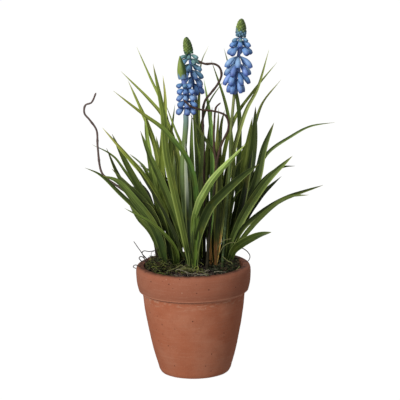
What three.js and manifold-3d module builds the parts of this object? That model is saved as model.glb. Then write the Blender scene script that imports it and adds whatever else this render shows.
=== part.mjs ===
// Grape hyacinths in a terracotta pot: three flower spikes, nine tufts of channelled leaves and three
// curly twigs stand in a pot of dark soil with moss on it. Millimetres, +Z up, origin at the centre of
// the pot's base, -Y towards the front of the display.
import * as THREE from 'three';
import { mergeVertices } from 'three/addons/utils/BufferGeometryUtils.js';
import Module from 'manifold-3d';

const wasm = await Module();
wasm.setup();

// ---------------------------------------------------------------------------------------------
// Driving dimensions
// ---------------------------------------------------------------------------------------------
const GAP = 0.3;                    // clearance between neighbouring pieces
const POT_HEIGHT = 86;
const POT_SIDES = 36;
const POT_OUTSIDE = [               // [radius, height], from the base up to the rim
  [25, 0], [27.4, 0.7], [28.6, 3], [29.4, 6], [32.2, 16], [35.1, 29], [38.6, 49], [40.3, 64.3],
  [43.1, 66.2], [44.3, 71], [44.8, 75], [45, 81], [44.4, 84.6], [42.6, POT_HEIGHT],
];
const RIM_INSIDE = [[40, POT_HEIGHT], [38.7, 85.1], [38.2, 82]];
const POT_FLOOR = 6;
const FLOOR_RADIUS = 24.5;
const [LIP_RADIUS, LIP_HEIGHT] = RIM_INSIDE.at(-1);

const SOIL_TOP = 80;
const SOIL_SECTORS = 20;
const SOIL_RINGS = [1, 0.8, 0.55, 0.3];      // shares of the soil's radius, from its edge inwards
const SOIL_SWELL = 0.6;             // height of the soil's broad waves
const SOIL_RIPPLE = 0.4;            // height of its finer ones
const HOLE_BOTTOM = 70;             // stems stand in plain holes down to this height
const HOLE_TOP = 120;
const STEM_SIDES = 7;
const LEAF_ROOT = 81.5;             // a leaf starts inside its crown, just above the soil
const LEAF_FOOT_OFFSET = 1.6;
const CROWN_TOP = 83.6;

const MOSS_FOOT = 78.5;
const MOSS_CEILING = 100;
const MOSS_LUMP = 0.22;             // lumps of the moss, as a share of its height
const MOSS_EDGE = 1.2;              // clearance between the moss and the pot's inside
const MOSS_CLEARANCE = 1.4;         // clearance between the moss and what grows through it

const LEAF_STEP = 23.5;             // a leaf bends once for each such length
const LEAF_SEGMENTS = [5, 11];      // fewest and most
const LEAF_THICKNESS = 1.1;
const LEAF_FOLD = 0.3;              // how far the edges rise above the keel, as a share of half the width
const LEAF_WIDENING = [0.5, 0, 0.5];       // width at the foot as a share, then where it widens from
const SLENDER_WIDENING = [0.3, 0.2, 0.5];  // and to, as shares of the length
const LEAF_TAPER = 0.85;            // the broader a leaf, the blunter its tip: power for each mm of width
const ARCH_SHARES = [[0.06, 0.26], [0.22, 0.6], [0.52, 0.88], [1, 1]];   // of an arch's reach and height

const STEM_STEPS = 10;
const STALK_STEPS = 5;
const FLORET_ROOT = 0.7;            // how far out a floret starts, as a share of the stalk's radius
const FLORET_KNEE = 0.62;           // where a floret turns down, as a share of its reach
const FLORET_SAG = 0.22;            // how low it hangs there, as a share of its drop
const FLORET_OUTLINE = [            // [share of length, share of girth]: a thin foot, an urn, a narrow mouth
  [0, 0.27], [0.34, 0.64], [0.72, 1], [0.95, 0.76],
];
const TIP_SIDES = 10;
const TIP_RINGS = 7;
const TIP_BUMP = 0.09;              // bumps of the unopened buds, as a share of the radius

const TWIG_SIDES = 5;
const TWIG_STEPS = 26;
const SHOOT_STEPS = 8;

const COLOURS = {
  terracotta: 0xa5654a, soil: 0x2a2422, moss: 0x4f5a26, leaf: 0x4e6b26, brightLeaf: 0x6c8a34,
  darkLeaf: 0x37501f, blueLeaf: 0x45693a, stem: 0x5b7436, floret: 0x5b7fc4, bud: 0x5f7d35, twig: 0x3f3330,
};

// ---------------------------------------------------------------------------------------------
// Tables: where each crown, leaf, spike and twig stands. Points are [x, y, z].
// ---------------------------------------------------------------------------------------------
const FRONT = -90;                  // azimuth of a leaf whose channel faces the front

/** One leaf: full width, azimuth that its channel faces, and the points that its keel runs through. */
const leaf = (width, face, ...route) => ({ width, face, route });

/** The same leaf, but thin for a longer stretch above its foot. */
const slender = spec => ({ ...spec, widening: SLENDER_WIDENING });

/** One arching leaf by rule: it leans towards an azimuth and droops at its tip. */
const arch = (width, azimuth, reach, height) => ({ width, azimuth, reach, height });

const TUFTS = [
  {
    name: 'leaves_front', root: [0, 0], crown: 3.6, colour: COLOURS.brightLeaf,
    leaves: [
      leaf(3.4, FRONT - 5, [2, -1, 105], [5, 0, 135], [8, 1, 165], [10, 2, 192]),
      slender(leaf(5.6, FRONT - 10, [0, -3, 115], [4, -9, 133], [9.7, -16, 146], [18.8, -24, 161],
        [41, -36, 186])),
      leaf(6.6, FRONT - 5, [3, -3, 103], [8, -6, 120], [15, -11, 135], [26, -19, 148], [39, -28, 161],
        [51, -36, 171]),
      leaf(4, FRONT + 5, [3, -4, 111], [3.4, -8, 139], [1.6, -13, 158], [-1.9, -14.6, 170],
        [-6.2, -16.4, 178.3], [-11, -17.6, 185], [-22, -21, 198], [-36.5, -24, 209.5], [-57, -28, 227]),
      leaf(5.6, FRONT - 10, [-6, -3, 106], [-12, -5, 138], [-19, -7, 176], [-20.5, -9, 206],
        [-27.3, -12, 245]),
      leaf(5.8, FRONT + 15, [-6, -1, 101], [-20.6, -3, 145], [-32, -6, 174], [-38.4, -9, 193.5]),
      leaf(2.6, FRONT, [-9, -2, 97], [-14, -3, 111], [-22, -3, 129], [-33, -4, 149], [-45, -4, 169]),
      leaf(5.4, FRONT, [-1.8, -2, 98], [-2.6, -2, 120], [-3, -2, 150], [-4.4, -3, 186]),
      leaf(4.2, FRONT, [1, 1, 109], [1, 2, 148], [0.4, 3, 176], [1.2, 4, 205]),
      leaf(3.4, FRONT + 10, [5, 1, 105], [7, 3, 130], [7, 4, 160], [4, 4, 186]),
    ],
  },
  {
    name: 'leaves_mid_left', root: [-13, 10], crown: 3.4, colour: COLOURS.leaf,
    leaves: [
      leaf(5.6, FRONT + 10, [-22, 10, 103], [-32, 10, 128], [-41, 9, 146], [-51, 8, 166], [-61, 7, 189]),
      leaf(4.2, FRONT + 20, [-17, 6, 108], [-24, 5, 132], [-37, 4, 156], [-48, 3, 170], [-68, 1, 195]),
      leaf(2.8, FRONT, [-12, 4, 93], [-18, -1, 106], [-32, -6, 121], [-52, -12, 134]),
      leaf(4.8, FRONT - 5, [-18, 12, 107], [-22, 13, 134], [-23, 13, 167], [-19.3, 13, 210],
        [-20.6, 13, 233]),
      leaf(5.2, FRONT, [-14, 14, 104], [-18, 15, 130], [-22, 15, 154], [-24, 15, 181]),
      leaf(4.8, FRONT, [-17, 11, 103], [-25, 11, 127], [-31, 11, 147], [-37, 11, 161]),
      arch(4.6, 120, 14, 70),
      arch(4.4, 95, 8, 92),
      arch(4.6, 160, 20, 84),
    ],
  },
  {
    name: 'leaves_left', root: [-20, 4], crown: 3.2, colour: COLOURS.leaf,
    leaves: [
      leaf(6.2, FRONT + 5, [-25, 2, 102], [-32, 1, 120], [-44, -3, 138], [-56, -8, 154], [-68, -13, 160]),
      leaf(3.6, FRONT + 10, [-28, 5, 109], [-40, 4, 126], [-55, 2, 142], [-70, -1, 158], [-82, -5, 165]),
      leaf(4.6, FRONT, [-31, 7, 108], [-42, 7, 122], [-50, 7, 135]),
      leaf(4.6, FRONT + 15, [-26, 6, 109], [-36, 6, 133], [-51, 5, 150], [-62, 5, 162]),
      arch(4.4, 175, 22, 56),
    ],
  },
  {
    name: 'leaves_left_back', root: [-24, 18], crown: 3.2, colour: COLOURS.darkLeaf,
    leaves: [
      leaf(2.6, FRONT, [-33, 17, 124], [-54, 15, 161], [-63, 14, 172], [-77, 12, 180]),
      leaf(4.2, FRONT + 10, [-33, 15, 119], [-45, 14, 135], [-57, 14, 154], [-66, 13, 177]),
      leaf(3.0, FRONT, [-26, 14, 117], [-35, 13, 138], [-41, 12, 152]),
      leaf(5.4, FRONT - 10, [-27, 18, 134], [-30, 18, 150], [-33, 17, 175], [-36, 17, 203]),
      leaf(4.8, FRONT - 20, [-25, 20, 134], [-26, 20, 167], [-32, 20, 190], [-39, 19, 208], [-48, 18, 229]),
      arch(4.6, 150, 30, 62),
      arch(4.2, 128, 42, 84),
      arch(4.4, 170, 26, 70),
      arch(4.6, 100, 22, 100),
    ],
  },
  {
    name: 'leaves_back_left', root: [-10, 25], crown: 3.2, colour: COLOURS.leaf,
    leaves: [
      leaf(3.8, FRONT - 10, [-10, 25, 125], [-10, 24, 165], [-19, 24, 195], [-31.5, 25, 212.4],
        [-53.8, 26, 235.4]),
      leaf(3.2, FRONT - 5, [-14, 27, 145], [-17, 27, 186], [-22, 27, 209], [-31, 28, 230], [-41, 28, 254]),
      leaf(3.8, FRONT + 10, [-17, 22, 136], [-17, 22, 173], [-12, 21, 209]),
      arch(5.2, 112, 34, 118),
      arch(4.8, 94, 26, 96),
      arch(4.6, 136, 46, 74),
      arch(4.4, 75, 18, 70),
    ],
  },
  {
    name: 'leaves_back', root: [6, 28], crown: 3.4, colour: COLOURS.leaf,
    leaves: [
      leaf(2.8, FRONT, [5, 30, 145], [6, 31, 185], [7, 31, 215], [9, 31, 239], [15, 31, 253]),
      leaf(2.6, FRONT + 10, [5, 28, 120], [5, 27, 166], [8, 27, 191], [15, 26, 210], [27, 26, 227]),
      leaf(3.0, FRONT - 10, [1, 22, 115], [0, 19, 147], [-5, 17, 171], [-12, 16, 190], [-19, 16, 210]),
      arch(5.2, 84, 38, 106),
      arch(4.8, 104, 24, 130),
      arch(4.6, 66, 44, 70),
      arch(4.4, 90, 12, 84),
      arch(4.6, 118, 36, 60),
    ],
  },
  {
    name: 'leaves_centre', root: [16, 10], crown: 3.4, colour: COLOURS.blueLeaf,
    leaves: [
      leaf(4.4, FRONT, [13, 9, 103], [16, 10, 135], [17, 12, 170], [15, 13, 201], [11, 13, 229]),
      leaf(3.8, FRONT + 10, [18, 9, 107], [19, 8, 151], [20, 7, 179], [22, 6, 208]),
      leaf(5.0, FRONT - 5, [13, 13, 98], [11, 15, 128], [12, 16, 160], [17, 17, 207]),
      leaf(3.6, FRONT - 10, [21, 9, 101], [25, 10, 128], [30, 12, 158], [34.6, 13, 178], [43.2, 15, 203.6],
        [52.8, 16, 222], [61.6, 16, 251]),
      leaf(3.6, FRONT, [20, 7, 120], [22, 5, 148], [19, 4, 171], [13, 4, 181], [0, 5, 203]),
      arch(4.8, 80, 8, 84),
      arch(4.6, 55, 9, 66),
      arch(4.2, 110, 6, 104),
    ],
  },
  {
    name: 'leaves_right', root: [27, 14], crown: 3.6, colour: COLOURS.leaf,
    leaves: [
      leaf(6.4, FRONT - 10, [29, 11, 95], [38, 9, 118], [49, 6, 137], [61, 1, 154], [78, -4, 171]),
      leaf(5.0, FRONT + 10, [31, 12, 97], [43, 10, 122], [56, 9, 140], [70, 8, 153]),
      leaf(4.4, FRONT, [33, 14, 104], [45, 13, 133], [58, 13, 151], [70, 13, 159], [81, 13, 160]),
      leaf(4.4, FRONT + 15, [37, 8, 109], [53, 4, 125], [69, -1, 136], [82, -5, 142], [101, -11, 149]),
      leaf(3.8, FRONT, [37, 6, 102], [54.4, -1, 124], [72.6, -7, 139], [90, -13, 142]),
      leaf(6.2, FRONT - 15, [32, 8, 94], [38, 2, 101], [46, -4, 107], [53, -9, 111], [61, -12, 113]),
      leaf(5.4, FRONT, [34, 17, 107], [40, 16, 133], [44, 15, 153], [48, 14, 173]),
      arch(4.6, 30, 15, 60),
      arch(4.4, 10, 14, 86),
    ],
  },
  {
    name: 'leaves_right_back', root: [20, 24], crown: 3.4, colour: COLOURS.darkLeaf,
    leaves: [
      leaf(3.0, FRONT, [33, 23, 112], [40, 22, 132], [53, 20, 159], [62, 18, 172], [78, 16, 183],
        [93, 14, 191], [112, 12, 194]),
      leaf(6.8, FRONT, [34, 24, 118], [44, 23, 148], [49, 23, 175], [51, 23, 206]),
      leaf(6.2, FRONT, [32, 26, 106], [38.6, 27, 139], [43, 27, 165], [48.6, 27, 197]),
      leaf(6.8, FRONT + 5, [37, 20, 112], [47, 19, 136], [52, 19, 152], [57, 18, 174], [65, 17, 194]),
      leaf(3.2, FRONT, [21, 27, 114], [25, 28, 163], [34, 27, 195], [50.2, 27, 218.4], [68.2, 26, 240]),
      leaf(3.2, FRONT + 10, [28, 29, 120], [39, 31, 163], [49, 31, 186], [56.6, 31, 207.4],
        [71.6, 32, 225.6]),
      leaf(3.4, FRONT, [29, 25, 118], [33, 24, 155], [31, 23, 187], [27, 22, 211], [17, 21, 243]),
      leaf(3.8, FRONT, [34, 24, 120], [36, 23, 150], [38, 23, 180], [37, 23, 211], [27, 23, 252]),
      arch(5.2, 58, 42, 88),
      arch(4.8, 38, 38, 56),
      arch(4.6, 76, 30, 118),
      arch(4.4, 20, 34, 70),
      arch(4.6, 95, 14, 96),
    ],
  },
];

// A spike: its green stem, the blue stalk that carries the florets, whorls of florets from the lowest
// up, and a closed tip. whorl = [height, florets, reach out, drop, girth radius, first azimuth].
const SPIKES = [
  {
    name: 'right', radius: 1.15,
    stem: [[23, 4, HOLE_BOTTOM + GAP], [23, 4, 84], [25, 5, 110], [28, 6, 140], [30, 7, 165], [31, 8, 188],
      [32.6, 9, 204], [34.2, 10, 218.4]],
    stalk: [[34.3, 10, 218.8], [36.2, 10, 236], [38.3, 10, 250], [39.5, 10, 261.4]],
    stalkRadius: 1.4, floretSides: 6,
    whorls: [
      [229.4, 5, 5, 11, 2.1, 18], [235.2, 6, 8.4, 10, 2.15, 0], [241, 5, 8.8, 9, 2.1, 22],
      [246.8, 5, 9.2, 8.2, 2.1, 50], [254.2, 5, 8.6, 6, 2.3, 18], [258.8, 5, 6.8, 4.6, 1.9, 54],
      [260.8, 6, 5.4, 2.4, 1.4, 30],
    ],
    tip: { foot: [39.8, 10, 261.8], top: [40.5, 10, 276.8], radius: 4.2, bumpy: true },
  },
  {
    name: 'back', radius: 1.15,
    stem: [[4, 18, HOLE_BOTTOM + GAP], [4, 18, 84], [3, 19, 118], [4, 20, 158], [5, 20, 183], [5, 20, 203],
      [4.5, 20, 213.6]],
    stalk: [[4.4, 20, 214], [2.9, 20, 224], [1.3, 20, 235], [0.2, 20, 248]],
    stalkRadius: 1.2, floretSides: 5,
    whorls: [
      [225, 5, 6.8, 8.2, 2, 0], [230.4, 5, 7.6, 7.6, 2, 36], [235.6, 5, 7.8, 6.4, 1.9, 12],
      [240.4, 5, 7.6, 5.2, 1.85, 48], [244.6, 5, 7.4, 4, 1.7, 10], [247.6, 5, 6.6, 2.6, 1.5, 44],
    ],
    tip: { foot: [-0.2, 20, 248.4], top: [-2.6, 20, 262.4], radius: 3.7, bumpy: true },
  },
  {
    name: 'front', radius: 2.1,
    stem: [[-4, 7, HOLE_BOTTOM + GAP], [-4, 7, 84], [-5, 5, 105], [-6, 5, 130], [-7, 4, 150], [-6.6, 3, 167],
      [-5, 2, 182], [-3.6, 1, 196], [-3.4, 0.5, 204]],
    stalk: [[-3.4, 0.5, 204.4], [-2.6, 0, 213], [-2.9, 0, 222], [-4.9, 0, 230.6]],
    stalkRadius: 1.6, floretSides: 5,
    whorls: [
      [209.4, 6, 6.6, 5, 2.1, 30], [214.4, 6, 6.4, 4.6, 2.1, 36], [219.2, 6, 6.2, 4, 2, 26],
      [223.6, 6, 5.8, 3.4, 1.9, 34], [227.6, 6, 5.2, 2.6, 1.65, 28],
    ],
    tip: { foot: [-5.5, 0, 231.5], top: [-7.2, 0, 249.3], radius: 3.7, bumpy: false },
  },
];

// A twig: radius at its foot and at its tip, the points of its main run, and those of its side shoots.
const TWIGS = [
  {
    name: 'twig_left', radius: [1.1, 0.7],
    runs: [[[-28, 11, HOLE_BOTTOM + GAP], [-28, 11, 84], [-31, 11, 105], [-38, 11, 121], [-51, 11, 141],
      [-65, 11, 152], [-70.8, 11, 160], [-72.6, 11, 178], [-73, 11, 191], [-78, 10, 199.6],
      [-82, 10, 205], [-81, 9, 211.4], [-76, 9, 213.6], [-72.4, 8, 221]]],
  },
  {
    name: 'twig_centre', radius: [1.3, 0.8],
    runs: [[[9, 13, HOLE_BOTTOM + GAP], [9, 13, 84], [9, 11, 125], [10, 9, 167], [9.5, 8, 199], [11, 8, 212],
      [16, 8, 219], [21.5, 8, 226], [24.5, 8, 233], [23, 8, 239], [18.5, 8, 241.8], [12, 8, 241.8],
      [6.6, 8, 244.2]]],
  },
  {
    name: 'twig_loop', radius: [1.4, 0.65],
    runs: [
      [[11, 3, HOLE_BOTTOM + GAP], [11, 3, 84], [13, 1, 112], [17, 0, 142], [19.5, 0, 164],
        [22.1, 0, 176], [25.2, 0, 184], [28.4, -0.6, 190.4], [29.2, -1.4, 197], [27.4, -2.4, 202.6],
        [23.3, -3, 205.2], [17, -4, 207], [8, -6, 208.5], [0, -9, 212], [-5, -9.5, 217]],
      [[19.5, 0, 164], [17.9, 0.4, 176], [17.8, 0.6, 188.3], [18.4, 0.8, 198.3], [19, 1, 205.6],
        [20.2, 1, 209.6], [23.6, 1, 212.6]],
    ],
  },
];

// A moss mound: centre, half width and half depth, and how far it stands above the soil.
const MOSS = [
  { name: 'moss_left', centre: [-28, 10], half: [9, 21], rise: 7.2 },
  { name: 'moss_right', centre: [31, 5], half: [6.5, 21], rise: 3.2 },
];

// ---------------------------------------------------------------------------------------------
// Meshes and solids
// ---------------------------------------------------------------------------------------------
const vector = point => new THREE.Vector3(...point);

/** Indexed geometry with its coincident vertices merged and its empty triangles dropped. */
function weld(geometry) {
  geometry.deleteAttribute('normal');
  geometry.deleteAttribute('uv');
  const merged = mergeVertices(geometry, 1e-4);
  const kept = [];
  const index = merged.index.array;
  for (let i = 0; i < index.length; i += 3) {
    const [a, b, c] = index.subarray(i, i + 3);
    if (a !== b && b !== c && c !== a) kept.push(a, b, c);
  }
  merged.setIndex(kept);
  return merged;
}

/** Closed mesh from rings of points, capped at the first ring; the last ring may be a single point. */
function skin(rings, lastIsPoint) {
  const sides = rings[0].length;
  const points = rings.flat();
  const index = [];
  const fullRings = lastIsPoint ? rings.length - 1 : rings.length;
  for (let ring = 0; ring + 1 < fullRings; ring++) {
    for (let side = 0; side < sides; side++) {
      const a = ring * sides + side;
      const b = ring * sides + (side + 1) % sides;
      index.push(a, b, b + sides, a, b + sides, a + sides);
    }
  }
  const last = (fullRings - 1) * sides;
  for (let side = 1; side + 1 < sides; side++) {
    index.push(0, side + 1, side);
    if (!lastIsPoint) index.push(last, last + side, last + side + 1);
  }
  if (lastIsPoint) {
    for (let side = 0; side < sides; side++) {
      index.push(last + side, last + (side + 1) % sides, points.length - 1);
    }
  }
  const geometry = new THREE.BufferGeometry().setFromPoints(points);
  geometry.setIndex(index);
  return geometry;
}

/** Exact solid from a closed geometry. */
function solid(geometry) {
  const welded = weld(geometry);
  return new wasm.Manifold(new wasm.Mesh({
    numProp: 3,
    vertProperties: new Float32Array(welded.attributes.position.array),
    triVerts: new Uint32Array(welded.index.array),
  }));
}

/** All the solids of a list joined into one. */
const join = solids => solids.reduce((whole, piece) => whole.add(piece));

/** Mesh of a solid, named and coloured. */
function piece(name, body, colour, roughness) {
  const { vertProperties, triVerts } = body.getMesh();
  const geometry = new THREE.BufferGeometry();
  geometry.setAttribute('position', new THREE.BufferAttribute(vertProperties, 3));
  geometry.setIndex(new THREE.BufferAttribute(triVerts, 1));
  geometry.computeVertexNormals();
  const material = new THREE.MeshStandardMaterial({ color: colour, roughness, metalness: 0 });
  const mesh = new THREE.Mesh(geometry, material);
  mesh.name = name;
  return mesh;
}

/** Solid of revolution about +Z from [radius, height] points that start and end on the axis. */
function turned(profile, sides) {
  const geometry = new THREE.LatheGeometry(profile.map(([r, z]) => new THREE.Vector2(r, z)), sides);
  geometry.rotateX(Math.PI / 2);
  return solid(geometry);
}

/** Upright round peg or hole. */
function peg([x, y], radius, bottom, top) {
  const geometry = new THREE.CylinderGeometry(radius, radius, top - bottom, STEM_SIDES);
  geometry.rotateX(Math.PI / 2);
  geometry.translate(x, y, (top + bottom) / 2);
  return solid(geometry);
}

/** Tube through points, tapering evenly from one radius to another, with flat ends. */
function tube(route, [startRadius, endRadius], sides, steps) {
  const curve = new THREE.CatmullRomCurve3(route.map(vector), false, 'catmullrom', 0.5);
  const frames = curve.computeFrenetFrames(steps, false);
  const rings = [];
  for (let step = 0; step <= steps; step++) {
    const share = step / steps;
    const centre = curve.getPointAt(share);
    const radius = THREE.MathUtils.lerp(startRadius, endRadius, share);
    const ring = [];
    for (let side = 0; side < sides; side++) {
      const angle = 2 * Math.PI * side / sides;
      ring.push(centre.clone()
        .addScaledVector(frames.normals[step], radius * Math.cos(angle))
        .addScaledVector(frames.binormals[step], radius * Math.sin(angle)));
    }
    rings.push(ring);
  }
  return solid(skin(rings, false));
}

// ---------------------------------------------------------------------------------------------
// Leaves
// ---------------------------------------------------------------------------------------------
/** Width of a leaf at a share of its length. */
function leafWidth({ width, widening = LEAF_WIDENING }, share) {
  const [footShare, start, end] = widening;
  const opened = THREE.MathUtils.clamp((share - start) / (end - start), 0, 1);
  const taper = (1 - share ** (LEAF_TAPER * width)) ** 0.9;
  return width * THREE.MathUtils.lerp(footShare, 1, opened) * taper;
}

/** Points of a leaf that arches by rule away from its crown, and the azimuth that its channel faces. */
function archRoute({ azimuth, reach, height }, [rootX, rootY]) {
  const lean = THREE.MathUtils.degToRad(azimuth);
  return ARCH_SHARES.map(([out, up]) => [
    rootX + reach * out * Math.cos(lean), rootY + reach * out * Math.sin(lean), LEAF_ROOT + height * up,
  ]);
}

/** Where a leaf starts inside its crown: off the middle, on the side that the leaf grows towards. */
function leafFoot(root, [x, y]) {
  const lean = new THREE.Vector2(x - root[0], y - root[1]).clampLength(0, LEAF_FOOT_OFFSET);
  return new THREE.Vector3(root[0] + lean.x, root[1] + lean.y, LEAF_ROOT);
}

/** Closed V-channelled blade that starts inside its crown and ends in a point. */
function blade(spec, root) {
  const route = spec.route ?? archRoute(spec, root);
  const face = THREE.MathUtils.degToRad(spec.face ?? spec.azimuth + 180);
  const facing = new THREE.Vector3(Math.cos(face), Math.sin(face), 0);
  const curve = new THREE.CatmullRomCurve3([leafFoot(root, route[0]), ...route.map(vector)], false,
    'catmullrom', 0.5);
  const segments = THREE.MathUtils.clamp(Math.round(curve.getLength() / LEAF_STEP), ...LEAF_SEGMENTS);
  const points = [];
  for (let ring = 0; ring < segments; ring++) {
    const share = ring / segments;
    const centre = curve.getPointAt(share);
    const tangent = curve.getTangentAt(share);
    const across = tangent.clone().cross(facing).normalize();
    const outward = across.clone().cross(tangent);
    const half = leafWidth(spec, share) / 2;
    const fold = LEAF_FOLD * half;
    points.push(
      centre.clone().addScaledVector(across, -half).addScaledVector(outward, fold),
      centre.clone().addScaledVector(outward, LEAF_THICKNESS / 2),
      centre.clone().addScaledVector(across, half).addScaledVector(outward, fold),
      centre.clone().addScaledVector(outward, -LEAF_THICKNESS / 2),
    );
  }
  points.push(curve.getPointAt(1));
  const index = [0, 3, 1, 3, 2, 1];
  for (let ring = 0; ring + 1 < segments; ring++) {
    const [a, b, c, d] = [0, 1, 2, 3].map(side => 4 * ring + side);
    index.push(a, b, b + 4, a, b + 4, a + 4, b, c, c + 4, b, c + 4, b + 4);
    index.push(c, d, c + 4, d, d + 4, c + 4, d, a, d + 4, a, a + 4, d + 4);
  }
  const last = 4 * (segments - 1);
  for (let side = 0; side < 4; side++) index.push(last + side, last + (side + 1) % 4, last + 4);
  const geometry = new THREE.BufferGeometry().setFromPoints(points);
  geometry.setIndex(index);
  return solid(geometry);
}

/** Peg in the soil from which the leaves of one tuft grow. */
const crownPeg = ({ root, crown }) => peg(root, crown, HOLE_BOTTOM + GAP, CROWN_TOP);

/** Leaves of one tuft joined to their crown. */
function buildTuft(tuft) {
  const blades = tuft.leaves.map(spec => blade(spec, tuft.root));
  return piece(tuft.name, join([crownPeg(tuft), ...blades]), tuft.colour, 0.5);
}

// ---------------------------------------------------------------------------------------------
// Flower spikes
// ---------------------------------------------------------------------------------------------
/** Urn-shaped floret: its stalk leaves the stem outwards and its urn hangs by a drop. */
function floret(foot, azimuth, reach, drop, girth, sides) {
  const out = new THREE.Vector3(Math.cos(azimuth), Math.sin(azimuth), 0);
  const side = new THREE.Vector3(-out.y, out.x, 0);
  const down = new THREE.Vector3(0, 0, -drop);
  const knee = foot.clone().addScaledVector(out, FLORET_KNEE * reach).addScaledVector(down, FLORET_SAG);
  const mouth = foot.clone().addScaledVector(out, reach).add(down);
  const path = new THREE.QuadraticBezierCurve3(foot, knee, mouth);
  const rings = FLORET_OUTLINE.map(([along, share]) => {
    const centre = path.getPoint(along);
    const up = path.getTangent(along).cross(side);
    return Array.from({ length: sides }, (_, i) => {
      const angle = 2 * Math.PI * i / sides;
      return centre.clone()
        .addScaledVector(side, girth * share * Math.cos(angle))
        .addScaledVector(up, girth * share * Math.sin(angle));
    });
  });
  return solid(skin([...rings, [mouth]], true));
}

/** Whorls of florets joined to the stalk that carries them. */
function buildFlorets(spike) {
  const curve = new THREE.CatmullRomCurve3(spike.stalk.map(vector), false, 'catmullrom', 0.5);
  const [low, high] = [spike.stalk[0][2], spike.stalk.at(-1)[2]];
  const parts = [tube(spike.stalk, [spike.stalkRadius, spike.stalkRadius], STEM_SIDES, STALK_STEPS)];
  const edge = FLORET_ROOT * spike.stalkRadius;
  for (const [height, count, reach, drop, girth, turn] of spike.whorls) {
    const centre = curve.getPoint((height - low) / (high - low));
    for (let i = 0; i < count; i++) {
      const azimuth = THREE.MathUtils.degToRad(turn + 360 * i / count);
      const out = new THREE.Vector3(Math.cos(azimuth), Math.sin(azimuth), 0);
      const foot = centre.clone().addScaledVector(out, edge);
      parts.push(floret(foot, azimuth, reach, drop, girth, spike.floretSides));
    }
  }
  return piece(`florets_${spike.name}`, join(parts), COLOURS.floret, 0.45);
}

/** Share of its radius that a tip of small buds has at a share of its height. */
const ovalShare = t => (0.9 + 0.1 * Math.min(1, 5 * t)) * (1 - t ** 2.8) ** 0.6;

/** Share of its radius that a pointed tip has at a share of its height. */
const pointedShare = t => Math.sin(Math.PI * (0.2 + 0.8 * t) ** 0.8) ** 0.9 * (1 - 0.2 * t);

/** Closed green tip of a spike: a pointed bud, or an oval of small unopened buds. */
function buildTip(spike) {
  const { foot, top, radius, bumpy } = spike.tip;
  const rings = [];
  for (let ring = 0; ring < TIP_RINGS; ring++) {
    const share = ring / TIP_RINGS;
    const middle = vector(foot).lerp(vector(top), share);
    const points = [];
    for (let side = 0; side < TIP_SIDES; side++) {
      const angle = 2 * Math.PI * (side + (ring % 2) / 2) / TIP_SIDES;
      const bump = 1 + TIP_BUMP * (side % 2 === 0 ? 1 : -1);
      const reach = radius * (bumpy ? ovalShare(share) * bump : pointedShare(share));
      points.push(middle.clone().add(new THREE.Vector3(reach * Math.cos(angle), reach * Math.sin(angle), 0)));
    }
    rings.push(points);
  }
  return piece(`tip_${spike.name}`, solid(skin([...rings, [vector(top)]], true)), COLOURS.bud, 0.5);
}

/** Green stem of a spike, from the soil up to its lowest florets. */
function buildStem(spike) {
  const body = tube(spike.stem, [spike.radius, spike.radius], STEM_SIDES, STEM_STEPS);
  return piece(`stem_${spike.name}`, body, COLOURS.stem, 0.5);
}

// ---------------------------------------------------------------------------------------------
// Twigs, soil, moss and pot
// ---------------------------------------------------------------------------------------------
/** Curly twig with its side shoots. */
function buildTwig(twig) {
  const [main, ...shoots] = twig.runs;
  const tipRadius = twig.radius[1];
  const parts = [
    tube(main, twig.radius, TWIG_SIDES, TWIG_STEPS),
    ...shoots.map(shoot => tube(shoot, [tipRadius, tipRadius], TWIG_SIDES, SHOOT_STEPS)),
  ];
  return piece(twig.name, join(parts), COLOURS.twig, 0.8);
}

/** Height of the lumpy soil at a point. */
const soilHeight = (x, y) => SOIL_TOP + SOIL_SWELL * Math.sin(0.21 * x + 1.3) * Math.cos(0.19 * y)
  + SOIL_RIPPLE * Math.sin(0.37 * x - 0.29 * y);

/** Radius of the pot's inside at a height. */
const insideRadius = z => FLOOR_RADIUS
  + (LIP_RADIUS - FLOOR_RADIUS) * (z - POT_FLOOR) / (LIP_HEIGHT - POT_FLOOR);

/** Plain round holes for every crown, stem and twig, wider than each by a clearance. */
function plantingHoles(clearance) {
  const feet = [
    ...TUFTS.map(({ root, crown }) => [root, crown]),
    ...SPIKES.map(({ stem, radius }) => [stem[0], radius]),
    ...TWIGS.map(({ runs, radius }) => [runs[0][0], radius[0]]),
  ];
  return join(feet.map(([[x, y], radius]) => peg([x, y], radius + clearance, HOLE_BOTTOM, HOLE_TOP)));
}

/** Soil that fills the pot, with a lumpy top, before the holes are cut. */
function soilBody() {
  const rim = insideRadius(SOIL_TOP) - GAP;
  const circle = (radius, height) => {
    const ring = [];
    for (let sector = 0; sector < SOIL_SECTORS; sector++) {
      const angle = 2 * Math.PI * sector / SOIL_SECTORS;
      const [x, y] = [radius * Math.cos(angle), radius * Math.sin(angle)];
      ring.push(new THREE.Vector3(x, y, height ?? soilHeight(x, y)));
    }
    return ring;
  };
  const rings = [circle(insideRadius(POT_FLOOR) - GAP, POT_FLOOR)];
  for (const share of SOIL_RINGS) rings.push(circle(rim * share));
  return solid(skin([...rings, [new THREE.Vector3(0, 0, soilHeight(0, 0))]], true));
}

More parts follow.
